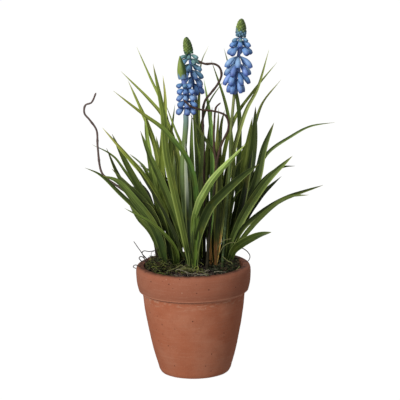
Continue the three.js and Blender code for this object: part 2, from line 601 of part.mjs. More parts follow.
/** Moss mound that follows the soil, is highest at its centre and keeps inside the pot. */
function buildMoss({ name, centre, half, rise }, soil, holes) {
  const wall = insideRadius(MOSS_FOOT) - MOSS_EDGE;
  const bounds = [[0, MOSS_FOOT], [wall, MOSS_FOOT], [wall, MOSS_CEILING], [0, MOSS_CEILING]];
  const dome = new THREE.SphereGeometry(1, 16, 8);
  dome.rotateX(Math.PI / 2);
  const points = dome.attributes.position;
  for (let i = 0; i < points.count; i++) {
    const [x, y, z] = [points.getX(i) * half[0], points.getY(i) * half[1], points.getZ(i) * (rise + 1)];
    const lump = 1 + MOSS_LUMP * Math.sin(0.55 * x + 1) * Math.cos(0.4 * y);
    points.setXYZ(i, centre[0] + x, centre[1] + y, SOIL_TOP - 1 + z * lump);
  }
  const mound = solid(dome).intersect(turned(bounds, POT_SIDES));
  const body = mound.subtract(soil.translate([0, 0, GAP])).subtract(holes);
  const largest = body.decompose().reduce((best, part) => (part.volume() > best.volume() ? part : best));
  return piece(name, largest, COLOURS.moss, 0.95);
}

/** Terracotta pot with a collar, a rounded rim and an open inside. */
function buildPot() {
  const profile = [[0, 0], ...POT_OUTSIDE, ...RIM_INSIDE, [FLOOR_RADIUS, POT_FLOOR], [0, POT_FLOOR]];
  return piece('pot', turned(profile, POT_SIDES), COLOURS.terracotta, 0.85);
}

const plant = new THREE.Group();
const soil = soilBody();
plant.add(buildPot());
plant.add(piece('soil', soil.subtract(plantingHoles(GAP)), COLOURS.soil, 0.95));
for (const moss of MOSS) plant.add(buildMoss(moss, soil, plantingHoles(MOSS_CLEARANCE)));
for (const tuft of TUFTS) plant.add(buildTuft(tuft));
for (const spike of SPIKES) plant.add(buildStem(spike), buildFlorets(spike), buildTip(spike));
for (const twig of TWIGS) plant.add(buildTwig(twig));

export default plant;
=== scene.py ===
"""Grape hyacinths in a terracotta pot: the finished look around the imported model.

Three flower spikes, nine tufts of channelled leaves and three curly twigs stand in a pot of dark soil
with moss on it. Each class below is one sub-assembly: it holds its sizes and builds its own meshes.
Lengths in the tables are millimetres, as on a drawing, and MM turns them into the scene's metres.
+Z is up, the origin is the centre of the pot's base, and -Y is towards the front of the display.
"""

from __future__ import annotations

import logging
import math
import random
from collections.abc import Iterable, Mapping, Sequence
from dataclasses import dataclass
from enum import Enum
from typing import Any

import bmesh
import bpy
import numpy as np
from mathutils import Matrix, Vector, noise

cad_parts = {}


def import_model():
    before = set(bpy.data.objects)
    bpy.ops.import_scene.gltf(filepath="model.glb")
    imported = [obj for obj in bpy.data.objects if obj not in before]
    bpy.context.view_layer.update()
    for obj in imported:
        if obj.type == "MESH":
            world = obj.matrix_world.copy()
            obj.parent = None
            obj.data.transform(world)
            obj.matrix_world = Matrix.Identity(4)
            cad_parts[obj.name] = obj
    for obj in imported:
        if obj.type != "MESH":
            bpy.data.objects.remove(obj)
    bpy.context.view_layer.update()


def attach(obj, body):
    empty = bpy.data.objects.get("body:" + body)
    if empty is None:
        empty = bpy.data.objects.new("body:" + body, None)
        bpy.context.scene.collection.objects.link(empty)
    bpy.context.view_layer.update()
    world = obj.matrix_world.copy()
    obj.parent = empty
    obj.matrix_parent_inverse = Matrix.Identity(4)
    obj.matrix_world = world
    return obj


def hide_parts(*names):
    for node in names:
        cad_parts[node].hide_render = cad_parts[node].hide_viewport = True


LOG = logging.getLogger("grape_hyacinth")

MM = 0.001
BODY = "root"
FULL_PAINT = 255
GAMMA = 2.2

Array = np.ndarray
Colour = tuple[float, float, float]
Pair = tuple[float, float]
Pairs = tuple[Pair, ...]
Point = Sequence[float]
Line = tuple[Point, ...]
Material = bpy.types.Material
Piece = bpy.types.Object


def paint(red: int, green: int, blue: int) -> Colour:
    """Linear colour from a paint chart's values.

    Args:
        red: Red, from 0 to FULL_PAINT.
        green: Green, from 0 to FULL_PAINT.
        blue: Blue, from 0 to FULL_PAINT.

    Returns:
        The colour that the shader and the meshes work in.
    """
    return tuple((value / FULL_PAINT) ** GAMMA for value in (red, green, blue))


# ---------- Shader maths ----------
class Value:
    """A socket that takes part in Python arithmetic, so that an expression adds its Math nodes."""

    def __init__(self, graph: Graph, socket: bpy.types.NodeSocket) -> None:
        """Wrap one output socket of a graph."""
        self.graph = graph
        self.socket = socket

    def __add__(self, other: Value | float) -> Value:
        """Sum of two values."""
        return self.graph.maths("ADD", self, other)

    def __radd__(self, other: float) -> Value:
        """Sum with a number on the left."""
        return self.graph.maths("ADD", other, self)

    def __sub__(self, other: Value | float) -> Value:
        """Difference of two values."""
        return self.graph.maths("SUBTRACT", self, other)

    def __rsub__(self, other: float) -> Value:
        """Difference from a number on the left."""
        return self.graph.maths("SUBTRACT", other, self)

    def __mul__(self, other: Value | float) -> Value:
        """Product of two values."""
        return self.graph.maths("MULTIPLY", self, other)

    def __rmul__(self, other: float) -> Value:
        """Product with a number on the left."""
        return self.graph.maths("MULTIPLY", other, self)

    def __abs__(self) -> Value:
        """Size of a value, without its sign."""
        return self.graph.maths("ABSOLUTE", self)

    def sine(self) -> Value:
        """Sine of a value in radians."""
        return self.graph.maths("SINE", self)

    def rise(self, low: float, high: float) -> Value:
        """Soft step of a value.

        Args:
            low: Value at which the step is 0.
            high: Value at which the step is 1. It may be below low, and the step then falls.

        Returns:
            A mask between 0 and 1.
        """
        settings = {"interpolation_type": "SMOOTHSTEP"}
        ends = {"From Min": low, "From Max": high}
        if low > high:
            ends = {"From Min": high, "From Max": low, "To Min": 1.0, "To Max": 0.0}
        return self.graph.value("MapRange", settings, {"Value": self, **ends})


class Graph:
    """The nodes of one material."""

    MIX_FACTOR, MIX_FIRST, MIX_SECOND, MIX_RESULT = 0, 6, 7, 2

    def __init__(self, name: str) -> None:
        """Start a material with an empty tree.

        Args:
            name: Name of the material.
        """
        self.material = bpy.data.materials.new(name)
        self.material.use_nodes = True
        self.tree = self.material.node_tree
        self.tree.nodes.clear()

    def node(self, kind: str, settings: Mapping[str, Any] | None = None,
             inputs: Mapping[str | int, Any] | None = None) -> bpy.types.Node:
        """Make a node.

        Args:
            kind: The node's type, without its ShaderNode prefix.
            settings: Properties of the node, which are set first.
            inputs: Values, or links as Value, for its sockets by name or number.

        Returns:
            The new node.
        """
        made = self.tree.nodes.new("ShaderNode" + kind)
        for name, setting in (settings or {}).items():
            setattr(made, name, setting)
        for name, given in (inputs or {}).items():
            if isinstance(given, Value):
                self.tree.links.new(given.socket, made.inputs[name])
            else:
                made.inputs[name].default_value = given
        return made

    def value(self, kind: str, settings: Mapping[str, Any] | None = None,
              inputs: Mapping[str | int, Any] | None = None, output: str | int = 0) -> Value:
        """Make a node and return one of its outputs.

        Args:
            kind: The node's type, without its ShaderNode prefix.
            settings: Properties of the node.
            inputs: Values or links for its sockets.
            output: Name or number of the output.

        Returns:
            That output, ready for arithmetic.
        """
        return Value(self, self.node(kind, settings, inputs).outputs[output])

    def maths(self, operation: str, *terms: Value | float) -> Value:
        """Result of a Math node on one or two terms."""
        return self.value("Math", {"operation": operation}, dict(enumerate(terms)))

    def place(self) -> Value:
        """Position in metres, in the model's own frame."""
        return self.value("TexCoord", output="Object")

    def attribute(self, name: str, output: str = "Vector") -> Value:
        """Value that the mesh holds for each of its vertices.

        Args:
            name: Name of the attribute.
            output: "Vector" or "Color".

        Returns:
            The attribute.
        """
        return self.value("Attribute", {"attribute_name": name}, output=output)

    def tint(self) -> Value:
        """Colour that the mesh holds."""
        return self.attribute("tint", "Color")

    def grain(self) -> tuple[Value, Value, Value]:
        """Place along and across the grain of the mesh, in metres, and the number of its strand."""
        return self.parts(self.attribute("grain"))

    def parts(self, vector: Value) -> tuple[Value, Value, Value]:
        """The three numbers of a vector."""
        node = self.node("SeparateXYZ", inputs={0: vector})
        return tuple(Value(self, output) for output in node.outputs)

    def vector(self, *numbers: Value | float) -> Value:
        """A vector from three numbers."""
        return self.value("CombineXYZ", inputs=dict(enumerate(numbers)))

    def stretch(self, vector: Value, factors: Point) -> Value:
        """A vector with each of its numbers multiplied by its own factor."""
        return self.value("VectorMath", {"operation": "MULTIPLY"}, {0: vector, 1: tuple(factors)})

    def mix(self, mask: Value | float, first: Value | Colour, second: Value | Colour,
            blend: str = "MIX") -> Value:
        """Blend of two colours.

        Args:
            mask: 0 for the first colour and 1 for the second.
            first: The colour underneath.
            second: The colour on top.
            blend: Blend mode of the Mix node.

        Returns:
            The blended colour.
        """
        settings = {"data_type": "RGBA", "blend_type": blend}
        colours = {self.MIX_FACTOR: mask}
        for socket, colour in ((self.MIX_FIRST, first), (self.MIX_SECOND, second)):
            colours[socket] = colour if isinstance(colour, Value) else (*colour, 1.0)
        return self.value("Mix", settings, colours, self.MIX_RESULT)

    def noise(self, at: Value, size: float, detail: float = 2.0, roughness: float = 0.5) -> Value:
        """Soft noise between 0 and 1.

        Args:
            at: Place to read it at.
            size: Size of its largest patches, in the unit of the place.
            detail: How many finer layers it has.
            roughness: Weight of the finer layers.

        Returns:
            The noise, about 0.5 on average.
        """
        inputs = {"Vector": at, "Scale": 1 / size, "Detail": detail, "Roughness": roughness}
        return self.value("TexNoise", inputs=inputs)

    def cells(self, at: Value, size: float, output: str = "Distance") -> Value:
        """Cells of about one size.

        Args:
            at: Place to read them at.
            size: Size of a cell.
            output: "Distance" for the distance to a cell's centre, or "Color" for one colour a cell.

        Returns:
            The chosen output, with the distance as a share of the size.
        """
        return self.value("TexVoronoi", inputs={"Vector": at, "Scale": 1 / size}, output=output)

    def bump(self, height: Value, depth: float) -> Value:
        """Normal of a surface with a relief.

        Args:
            height: Relief, from 0 to 1.
            depth: Depth of the relief from 0 to 1, in metres.

        Returns:
            The bumped normal.
        """
        return self.value("Bump", inputs={"Height": height, "Distance": depth, "Strength": 1.0})

    def finish(self, colour: Value, roughness: Value | float, normal: Value,
               **constants: float | Point) -> Material:
        """Close the material with its surface.

        Args:
            colour: Base colour.
            roughness: Roughness.
            normal: Bumped normal.
            **constants: Values of other sockets of the surface, with _ for each space in a name.

        Returns:
            The finished material.
        """
        inputs = {"Base Color": colour, "Roughness": roughness, "Normal": normal}
        inputs.update({name.replace("_", " "): value for name, value in constants.items()})
        surface = self.value("BsdfPrincipled", inputs=inputs)
        self.node("OutputMaterial", inputs={"Surface": surface})
        return self.material


# ---------- Finishes ----------
@dataclass(frozen=True)
class TerracottaFinish:
    """Unglazed fired clay: dusty, pitted, scuffed under its collar and stained at its rim, with painted
    shade in its pits and a band of painted light at the collar's foot.

    Bands are distances from the foot of the collar or of the stained rim, and other lengths are the
    sizes of marks or the gaps between them.
    """

    clay: Colour = paint(172, 102, 74)
    pale: Colour = paint(186, 128, 102)
    deep: Colour = paint(148, 80, 56)
    collar: Colour = paint(142, 92, 74)
    dust: Colour = paint(196, 152, 128)
    stain: Colour = paint(78, 50, 40)
    # Dark colour of the painted shade in the pits.
    painted_pit_shade: Colour = paint(70, 36, 26)
    # Pale colour of the band of painted light at the collar's foot.
    worn: Colour = paint(226, 158, 128)
    collar_foot: float = 65 * MM
    rim_foot: float = 81 * MM
    stained: float = 3 * MM
    stained_radius: Pair = (45 * MM, 41.5 * MM)
    blend: float = 1 * MM
    scuffed: Pair = (9 * MM, 2 * MM)
    clear: float = 1.2 * MM
    # How far below and above the collar's foot the band of painted light starts and ends.
    painted_light_below: Pair = (1.2 * MM, 0.6 * MM)
    painted_light_above: Pair = (2.4 * MM, 1.2 * MM)
    cloud: float = 26 * MM
    patch: float = 7 * MM
    groove: float = 1.3 * MM
    scuff: float = 1.6 * MM
    grime: float = 5 * MM
    ripple: float = 2.5 * MM
    grit: float = 0.8 * MM
    pit_gap: float = 4.6 * MM
    chip_gap: float = 6.1 * MM
    roughness: float = 0.86
    depth: float = 0.22 * MM

    def make(self) -> Material:
        """Build the material.

        Returns:
            The terracotta.
        """
        graph = Graph("terracotta")
        at = graph.place()
        x, y, z = graph.parts(at)
        clouds = graph.noise(at, self.cloud, 3).rise(0.38, 0.66)
        patches = graph.noise(at, self.patch, 4, 0.6).rise(0.42, 0.7)
        colour = graph.mix(clouds * 0.4, self.clay, self.pale)
        colour = graph.mix(patches * 0.22, colour, self.deep)
        foot = self.collar_foot
        colour = graph.mix(z.rise(foot - self.blend, foot) * 0.5, colour, self.collar)
        turning = graph.noise(graph.stretch(at, (0.08, 0.08, 1.0)), self.groove, 2)
        colour = graph.mix(turning.rise(0.5, 0.75) * 0.1, colour, self.dust)

        under = z.rise(foot - self.scuffed[0], foot - self.scuffed[1]) * z.rise(foot, foot - self.clear)
        scuffs = graph.noise(graph.stretch(at, (0.35, 0.35, 1.0)), self.scuff, 3).rise(0.5, 0.64)
        colour = graph.mix(under * scuffs * 0.5, colour, self.dust)
        # Painted light: a pale band at the collar's foot, laid over the shadow that the collar casts.
        edge = z.rise(foot - self.painted_light_below[0], foot - self.painted_light_below[1])
        edge = edge * z.rise(foot + self.painted_light_above[0], foot + self.painted_light_above[1])
        colour = graph.mix(edge * 0.42, colour, self.worn)

        grains = graph.noise(at, self.grit, 3, 0.7)
        colour = graph.mix(grains.rise(0.58, 0.76) * 0.5, colour, self.dust)
        colour = graph.mix(grains.rise(0.42, 0.26) * 0.45, colour, self.deep)

        # Painted shade: scattered pits are darkened as shade in the hollows.
        pits = graph.cells(at, self.pit_gap).rise(0.13, 0.07)
        chosen = graph.parts(graph.cells(at, self.pit_gap, "Color"))[0].rise(0.48, 0.52)
        pits = pits * chosen
        colour = graph.mix(pits * 0.85, colour, self.painted_pit_shade)
        chips = graph.cells(graph.stretch(at, (1.0, 1.0, 0.7)), self.chip_gap).rise(0.11, 0.06)
        colour = graph.mix(chips * patches * 0.7, colour, self.dust)

        soiled = z.rise(self.rim_foot, self.rim_foot + self.stained)
        inside = graph.maths("SQRT", x * x + y * y).rise(*self.stained_radius)
        grime = graph.noise(at, self.grime, 4, 0.65).rise(0.36, 0.6)
        colour = graph.mix(soiled * inside * (0.6 + grime * 0.4), colour, self.stain)

        relief = grains * 0.35 + turning * 0.14 + graph.noise(at, self.ripple, 3) * 0.5 - pits * 0.9
        roughness = self.roughness + (patches - 0.5) * 0.1
        return graph.finish(colour, roughness, graph.bump(relief, self.depth), Specular_IOR_Level=0.25)


@dataclass(frozen=True)
class SoilFinish:
    """Dark loose potting soil with a violet cast."""

    name: str = "soil"
    dark: Colour = paint(30, 25, 23)
    violet: Colour = paint(66, 56, 60)
    brown: Colour = paint(70, 54, 40)
    clod: float = 3.2 * MM
    crumb: float = 0.7 * MM
    roughness: float = 0.95
    depth: float = 0.5 * MM

    def make(self) -> Material:
        """Build the material.

        Returns:
            The soil.
        """
        graph = Graph(self.name)
        at = graph.place()
        tint = graph.tint()
        coarse = graph.noise(at, self.clod, 4, 0.65)
        fine = graph.noise(at, self.crumb, 3, 0.7)
        colour = graph.mix(coarse.rise(0.45, 0.7) * 0.8, self.dark, self.violet)
        colour = graph.mix(fine.rise(0.55, 0.75) * 0.6, colour, self.brown)
        colour = graph.mix(0.55, colour, tint)
        relief = coarse * 0.6 + fine * 0.5
        return graph.finish(colour, self.roughness, graph.bump(relief, self.depth), Specular_IOR_Level=0.2)


@dataclass(frozen=True)
class StrandFinish:
    """Dry strands: moss, hair-like fibres and the like, each with a tint of its own."""

    name: str
    dust: Colour = paint(150, 142, 110)
    joint: float = 1.1 * MM
    speck: float = 0.35 * MM
    roughness: float = 0.8
    depth: float = 0.12 * MM

    def make(self) -> Material:
        """Build the material.

        Returns:
            The finish of the strands.
        """
        graph = Graph(self.name)
        along, _, seed = graph.grain()
        tint = graph.tint()
        joints = graph.noise(graph.vector(along, seed, 0.0), self.joint, 3)
        colour = graph.mix(joints.rise(0.42, 0.7) * 0.55, tint, graph.mix(1.0, tint, tint, "MULTIPLY"))
        speckle = graph.noise(graph.place(), self.speck, 2)
        colour = graph.mix(speckle.rise(0.55, 0.8) * 0.25, colour, self.dust)
        relief = joints * 0.6 + speckle * 0.4
        return graph.finish(colour, self.roughness, graph.bump(relief, self.depth), Specular_IOR_Level=0.3)


@dataclass(frozen=True)
class BladeFinish:
    """Satin leaf: fine ribs along it, painted shade on one half and in the furrows by the midrib, and
    painted highlights on its thin edges.

    Its lean turns a leaf's own number into which half gets the painted shade, and by how much.
    """

    name: str = "leaf"
    roughness: float = 0.42
    rib_pitch: float = 0.52 * MM
    # Pale colour of the painted highlight on the leaf edges.
    painted_edge_highlight: Colour = paint(168, 186, 104)
    sheen: Point = (2.5, 2.2, 2.6)
    # Colour of the painted shade on one half and in the furrows. It also darkens the broad stripes.
    shade: Colour = paint(30, 44, 14)
    olive: Colour = paint(120, 118, 36)
    fibre: float = 0.5 * MM
    stripe: float = 1.9 * MM
    blotch: float = 14 * MM
    # Turns a leaf's number into the side and strength of its painted shade.
    lean: float = 22.41
    # Distances from the midrib over which the painted shade in the furrow goes from none to full.
    furrow: Pair = (0.7 * MM, 0.35 * MM)
    midrib: Pair = (0.3 * MM, 0.12 * MM)
    depth: float = 0.06 * MM

    def make(self) -> Material:
        """Build the material.

        Returns:
            The leaf's finish.
        """
        graph = Graph(self.name)
        along, across, seed = graph.grain()
        _, share, inner = graph.parts(graph.attribute("share"))
        tint = graph.tint()
        pale = graph.stretch(tint, self.sheen)
        lengthwise = graph.vector(along * 0.04, across, seed)
        fine = graph.noise(lengthwise, self.fibre, 3, 0.6)
        broad = graph.noise(lengthwise, self.stripe, 2)
        blotches = graph.noise(graph.vector(along, across * 2.0, seed), self.blotch, 3, 0.6)

        # Painted shade: one half of each leaf is darkened, as if turned away from the light.
        lean = (seed * self.lean).sine()
        colour = graph.mix((share * lean).rise(-0.05, 0.3) * 0.55, tint, self.shade)
        colour = graph.mix(broad.rise(0.5, 0.72) * 0.45, colour, self.shade)
        colour = graph.mix(fine.rise(0.5, 0.76) * 0.5, colour, pale)
        colour = graph.mix(blotches.rise(0.5, 0.74) * 0.3, colour, self.olive)
        # Painted shade along the crease next to the midrib, on the channel's inner face.
        furrow = abs(across).rise(*self.furrow) * inner
        colour = graph.mix(furrow * 0.3, colour, self.shade)
        midrib = abs(across).rise(*self.midrib)
        colour = graph.mix(midrib * 0.4, colour, pale)
        # Painted highlight on the thin edges: strongest on the edge of the half without painted shade, and
        # a little on both edges.
        edge = (share * lean).rise(-0.5, -0.8) * 0.6 + abs(share).rise(0.84, 0.96) * 0.35
        colour = graph.mix(edge, colour, graph.mix(0.55, pale, self.painted_edge_highlight))

        ribs = (across * (math.tau / self.rib_pitch)).sine()
        relief = ribs * 0.3 + fine * 0.5
        roughness = self.roughness + (fine - 0.5) * 0.16
        return graph.finish(colour, roughness, graph.bump(relief, self.depth), Specular_IOR_Level=0.34)


@dataclass(frozen=True)
class PetalFinish:
    """Powdery satin of the florets, their stalks, the buds and the stems: streaked and mottled."""

    name: str
    streak: Colour
    bloom: Colour
    roughness: float = 0.46
    streak_share: float = 0.4
    fibre: float = 0.55 * MM
    cloud: float = 2.2 * MM
    depth: float = 0.09 * MM

    def make(self, owner: str) -> Material:
        """Build the material.

        Args:
            owner: Name of the spike that it is for.

        Returns:
            The finish.
        """
        graph = Graph(self.name + "_" + owner)
        along, across, seed = graph.grain()
        tint = graph.tint()
        lengthwise = graph.vector(along * 0.15, across, seed)
        fine = graph.noise(lengthwise, self.fibre, 3, 0.6)
        mottle = graph.noise(graph.place(), self.cloud, 3, 0.6)
        colour = graph.mix(fine.rise(0.5, 0.75) * self.streak_share, tint, self.streak)
        colour = graph.mix(mottle.rise(0.5, 0.74) * 0.35, colour, self.bloom)
        relief = fine * 0.6 + mottle * 0.4
        roughness = self.roughness + (mottle - 0.5) * 0.2
        return graph.finish(colour, roughness, graph.bump(relief, self.depth), Specular_IOR_Level=0.4)


@dataclass(frozen=True)
class BarkFinish:
    """Bare dark twig with fine lengthwise cracks and pale worn flecks."""

    name: str = "bark"
    crack: Colour = paint(34, 24, 22)
    worn: Colour = paint(142, 124, 112)
    crack_gap: float = 0.5 * MM
    ring_gap: float = 2.6 * MM
    roughness: float = 0.72
    depth: float = 0.16 * MM

    def make(self) -> Material:
        """Build the material.

        Returns:
            The bark.
        """
        graph = Graph(self.name)
        along, across, seed = graph.grain()
        tint = graph.tint()
        cracks = graph.noise(graph.vector(along * 0.2, across, seed), self.crack_gap, 4, 0.65)
        rings = graph.noise(graph.vector(along, across * 0.3, seed), self.ring_gap, 3)
        colour = graph.mix(cracks.rise(0.5, 0.34) * 0.7, tint, self.crack)
        colour = graph.mix(cracks.rise(0.56, 0.74) * rings.rise(0.4, 0.65) * 0.7, colour, self.worn)
        relief = cracks * 0.7 + rings * 0.5
        return graph.finish(colour, self.roughness, graph.bump(relief, self.depth), Specular_IOR_Level=0.3)


@dataclass(frozen=True)
class FloorFinish:
    """Board that glows white, so that it looks the same under every lamp, with a faint grain."""

    shade: Colour = (0.02, 0.02, 0.02)
    fleck: Colour = (0.03, 0.03, 0.03)
    white: tuple[float, ...] = (1.0, 1.0, 1.0, 1.0)
    glow: float = 1.0
    grain: float = 3 * MM
    roughness: float = 0.9
    depth: float = 0.01 * MM

    def make(self) -> Material:
        """Build the material.

        Returns:
            The floor's finish.
        """
        graph = Graph("studio_board")
        grain = graph.noise(graph.place(), self.grain, 2)
        colour = graph.mix(grain * 0.04, self.shade, self.fleck)
        return graph.finish(colour, self.roughness, graph.bump(grain, self.depth), Specular_IOR_Level=0.1,
                            Emission_Color=self.white, Emission_Strength=self.glow)


# ---------- Curves and meshes ----------
def blend(first: Point, second: Point, share: Array) -> Array:
    """Colours or points between two ends.

    Args:
        first: Value at share 0.
        second: Value at share 1.
        share: Shares between 0 and 1.

    Returns:
        One row for each share.
    """
    share = np.asarray(share, float)[:, None]
    return np.asarray(first, float) * (1 - share) + np.asarray(second, float) * share


def soft_step(low: float, high: float, at: Array | float) -> Array:
    """Smooth rise from 0 at low to 1 at high."""
    share = np.clip((np.asarray(at, float) - low) / (high - low), 0, 1)
    return share * share * (3 - 2 * share)


def unit(vectors: Array) -> Array:
    """Vectors of length 1 in the same directions."""
    return vectors / np.linalg.norm(vectors, axis=-1, keepdims=True)


def bearing(azimuth: float) -> Array:
    """Level vector of length 1 at an azimuth in radians."""
    return np.array([math.cos(azimuth), math.sin(azimuth), 0.0])


def ring_angles(sides: int) -> Array:
    """Angles of a ring's evenly spaced sides, in radians."""
    return math.tau * np.arange(sides) / sides


class Route:
    """A smooth curve through given points, read by shares of its length."""

    STEPS = 24
    HEADING_STEP = 0.004

    def __init__(self, points: Iterable[Point]) -> None:
        """Lay the curve.

        Args:
            points: Points in millimetres that the curve runs through.
        """
        knots = np.array([tuple(point) for point in points], float) * MM
        ends = (2 * knots[0] - knots[1], 2 * knots[-1] - knots[-2])
        padded = np.vstack([ends[0], knots, ends[1]])
        t = np.linspace(0, 1, self.STEPS, endpoint=False)[:, None]
        runs = []
        for before, start, stop, after in zip(padded, padded[1:], padded[2:], padded[3:]):
            runs.append(0.5 * (2 * start + (stop - before) * t
                               + (2 * before - 5 * start + 4 * stop - after) * t ** 2
                               + (3 * start - before - 3 * stop + after) * t ** 3))
        self.line = np.vstack([*runs, knots[-1:]])
        steps = np.linalg.norm(np.diff(self.line, axis=0), axis=1)
        self.reach = np.concatenate([[0.0], np.cumsum(steps)])
        self.length = float(self.reach[-1])

    def at(self, shares: Array) -> Array:
        """Points at shares of the length."""
        where = np.clip(shares, 0, 1) * self.length
        return np.stack([np.interp(where, self.reach, self.line[:, axis]) for axis in range(3)], -1)

    def at_height(self, height: float) -> Array:
        """The point of a rising curve at a height in metres."""
        share = np.interp(height, self.line[:, 2], self.reach) / self.length
        return self.at(np.array([share]))[0]

    def headings(self, shares: Array) -> Array:
        """Unit directions at shares of the length."""
        shares = np.asarray(shares)
        return unit(self.at(shares + self.HEADING_STEP) - self.at(shares - self.HEADING_STEP))


class Draft:
    """Points, faces and vertex values of one mesh while it is being made."""

    VALUES = (("tint", "FLOAT_COLOR", 4), ("grain", "FLOAT_VECTOR", 3), ("share", "FLOAT_VECTOR", 3))

    def __init__(self) -> None:
        """Start with an empty mesh."""
        self.points: list[Array] = []
        self.faces: list[tuple[int, ...]] = []
        self.values: dict[str, list[Array]] = {name: [] for name, _, _ in self.VALUES}
        self.count = 0

    def add(self, points: Array, faces: Iterable[Sequence[int]], **values: Array) -> None:
        """Add a patch of mesh.

        Args:
            points: Vertices, one row each, in metres.
            faces: Vertex numbers of each face, counted within this patch.
            **values: tint, grain and share of each vertex. What is left out is zero.
        """
        total = len(points)
        self.points.append(points)
        self.faces += [tuple(number + self.count for number in face) for face in faces]
        for name, _, width in self.VALUES:
            rows = np.zeros((total, width))
            if name in values:
                given = np.broadcast_to(np.asarray(values[name], float), (total, 3))
                rows[:, :3] = given
            if width == 4:
                rows[:, 3] = 1.0
            self.values[name].append(rows)
        self.count += total

    def add_rings(self, rings: Array, **values: Array) -> None:
        """Add a closed skin over rings of points, with a fan at either end.

        Args:
            rings: Array of rings, points in a ring, and 3.
            **values: Vertex values as arrays of rings, points in a ring, and 3.
        """
        count, sides, _ = rings.shape
        faces = []
        for ring in range(count - 1):
            for side in range(sides):
                a = ring * sides + side
                b = ring * sides + (side + 1) % sides
                faces.append((a, b, b + sides, a + sides))
        last = (count - 1) * sides
        foot, top = count * sides, count * sides + 1
        for side in range(sides):
            after = (side + 1) % sides
            faces.append((after, side, foot))
            faces.append((last + side, last + after, top))
        flat = {name: self._with_hubs(np.broadcast_to(given, rings.shape))
                for name, given in values.items()}
        self.add(self._with_hubs(rings), faces, **flat)

    @staticmethod
    def _with_hubs(rings: Array) -> Array:
        """Rows of all rings, then the middle of the first ring and that of the last one."""
        return np.vstack([rings.reshape(-1, 3), rings[0].mean(0), rings[-1].mean(0)])

    def object(self, name: str, material: Material, sharp: float = 60.0) -> Piece:
        """Turn the draft into an object in the scene.

        Args:
            name: Name of the object.
            material: Its finish.
            sharp: Edges that turn by more than this many degrees stay crisp.

        Returns:
            The object, at the origin.
        """
        mesh = bpy.data.meshes.new(name)
        mesh.from_pydata(np.vstack(self.points).tolist(), [], self.faces)
        for value, kind, width in self.VALUES:
            layer = mesh.attributes.new(value, kind, "POINT")
            rows = np.vstack(self.values[value]).astype(np.float32)
            layer.data.foreach_set("color" if width == 4 else "vector", rows.ravel())
        mesh.polygons.foreach_set("use_smooth", [True] * len(mesh.polygons))
        mesh.set_sharp_from_angle(angle=math.radians(sharp))
        mesh.materials.append(material)
        made = bpy.data.objects.new(name, mesh)
        bpy.context.scene.collection.objects.link(made)
        return made


# A direction that no route starts along: a tube's first side is turned towards it.
SIDEWAYS = (0.31, 0.95, 0.05)


def tube(draft: Draft, route: Route, radii: Array, sides: int, tint: Array | Colour,
         seed: float) -> None:
    """Add a round tube along a route.

    Args:
        draft: Mesh that gets the tube.
        route: Its centre line.
        radii: Radius at each of its rings, which are evenly spaced.
        sides: Number of its sides.
        tint: One colour, or one for each ring.
        seed: A number of its own, for the grain.
    """
    shares = np.linspace(0, 1, len(radii))
    centres = route.at(shares)
    headings = route.headings(shares)
    normal = unit(np.cross(headings[0], SIDEWAYS))
    rings = []
    angles = ring_angles(sides)
    for centre, heading, radius in zip(centres, headings, radii):
        normal = unit(normal - heading * (normal @ heading))
        side = np.cross(heading, normal)
        rings.append(centre + radius * (np.outer(np.cos(angles), normal) + np.outer(np.sin(angles), side)))
    grain = np.zeros((len(radii), sides, 3))
    grain[:, :, 0] = (shares * route.length)[:, None]
    grain[:, :, 1] = np.outer(radii, np.abs(np.pi - angles))
    grain[:, :, 2] = seed
    rows = np.broadcast_to(np.asarray(tint, float), (len(radii), 3))[:, None, :]
    draft.add_rings(np.array(rings), tint=np.broadcast_to(rows, (len(radii), sides, 3)), grain=grain)


def dress(piece: Piece, slot: str, *nodes: str) -> Piece:
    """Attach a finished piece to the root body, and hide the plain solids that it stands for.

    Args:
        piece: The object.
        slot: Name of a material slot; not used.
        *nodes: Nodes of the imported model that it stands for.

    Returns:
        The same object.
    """
    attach(piece, BODY)
    if nodes:
        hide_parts(*nodes)
    piece.data.calc_loop_triangles()
    LOG.info("%s: %d triangles", piece.name, len(piece.data.loop_triangles))
    return piece


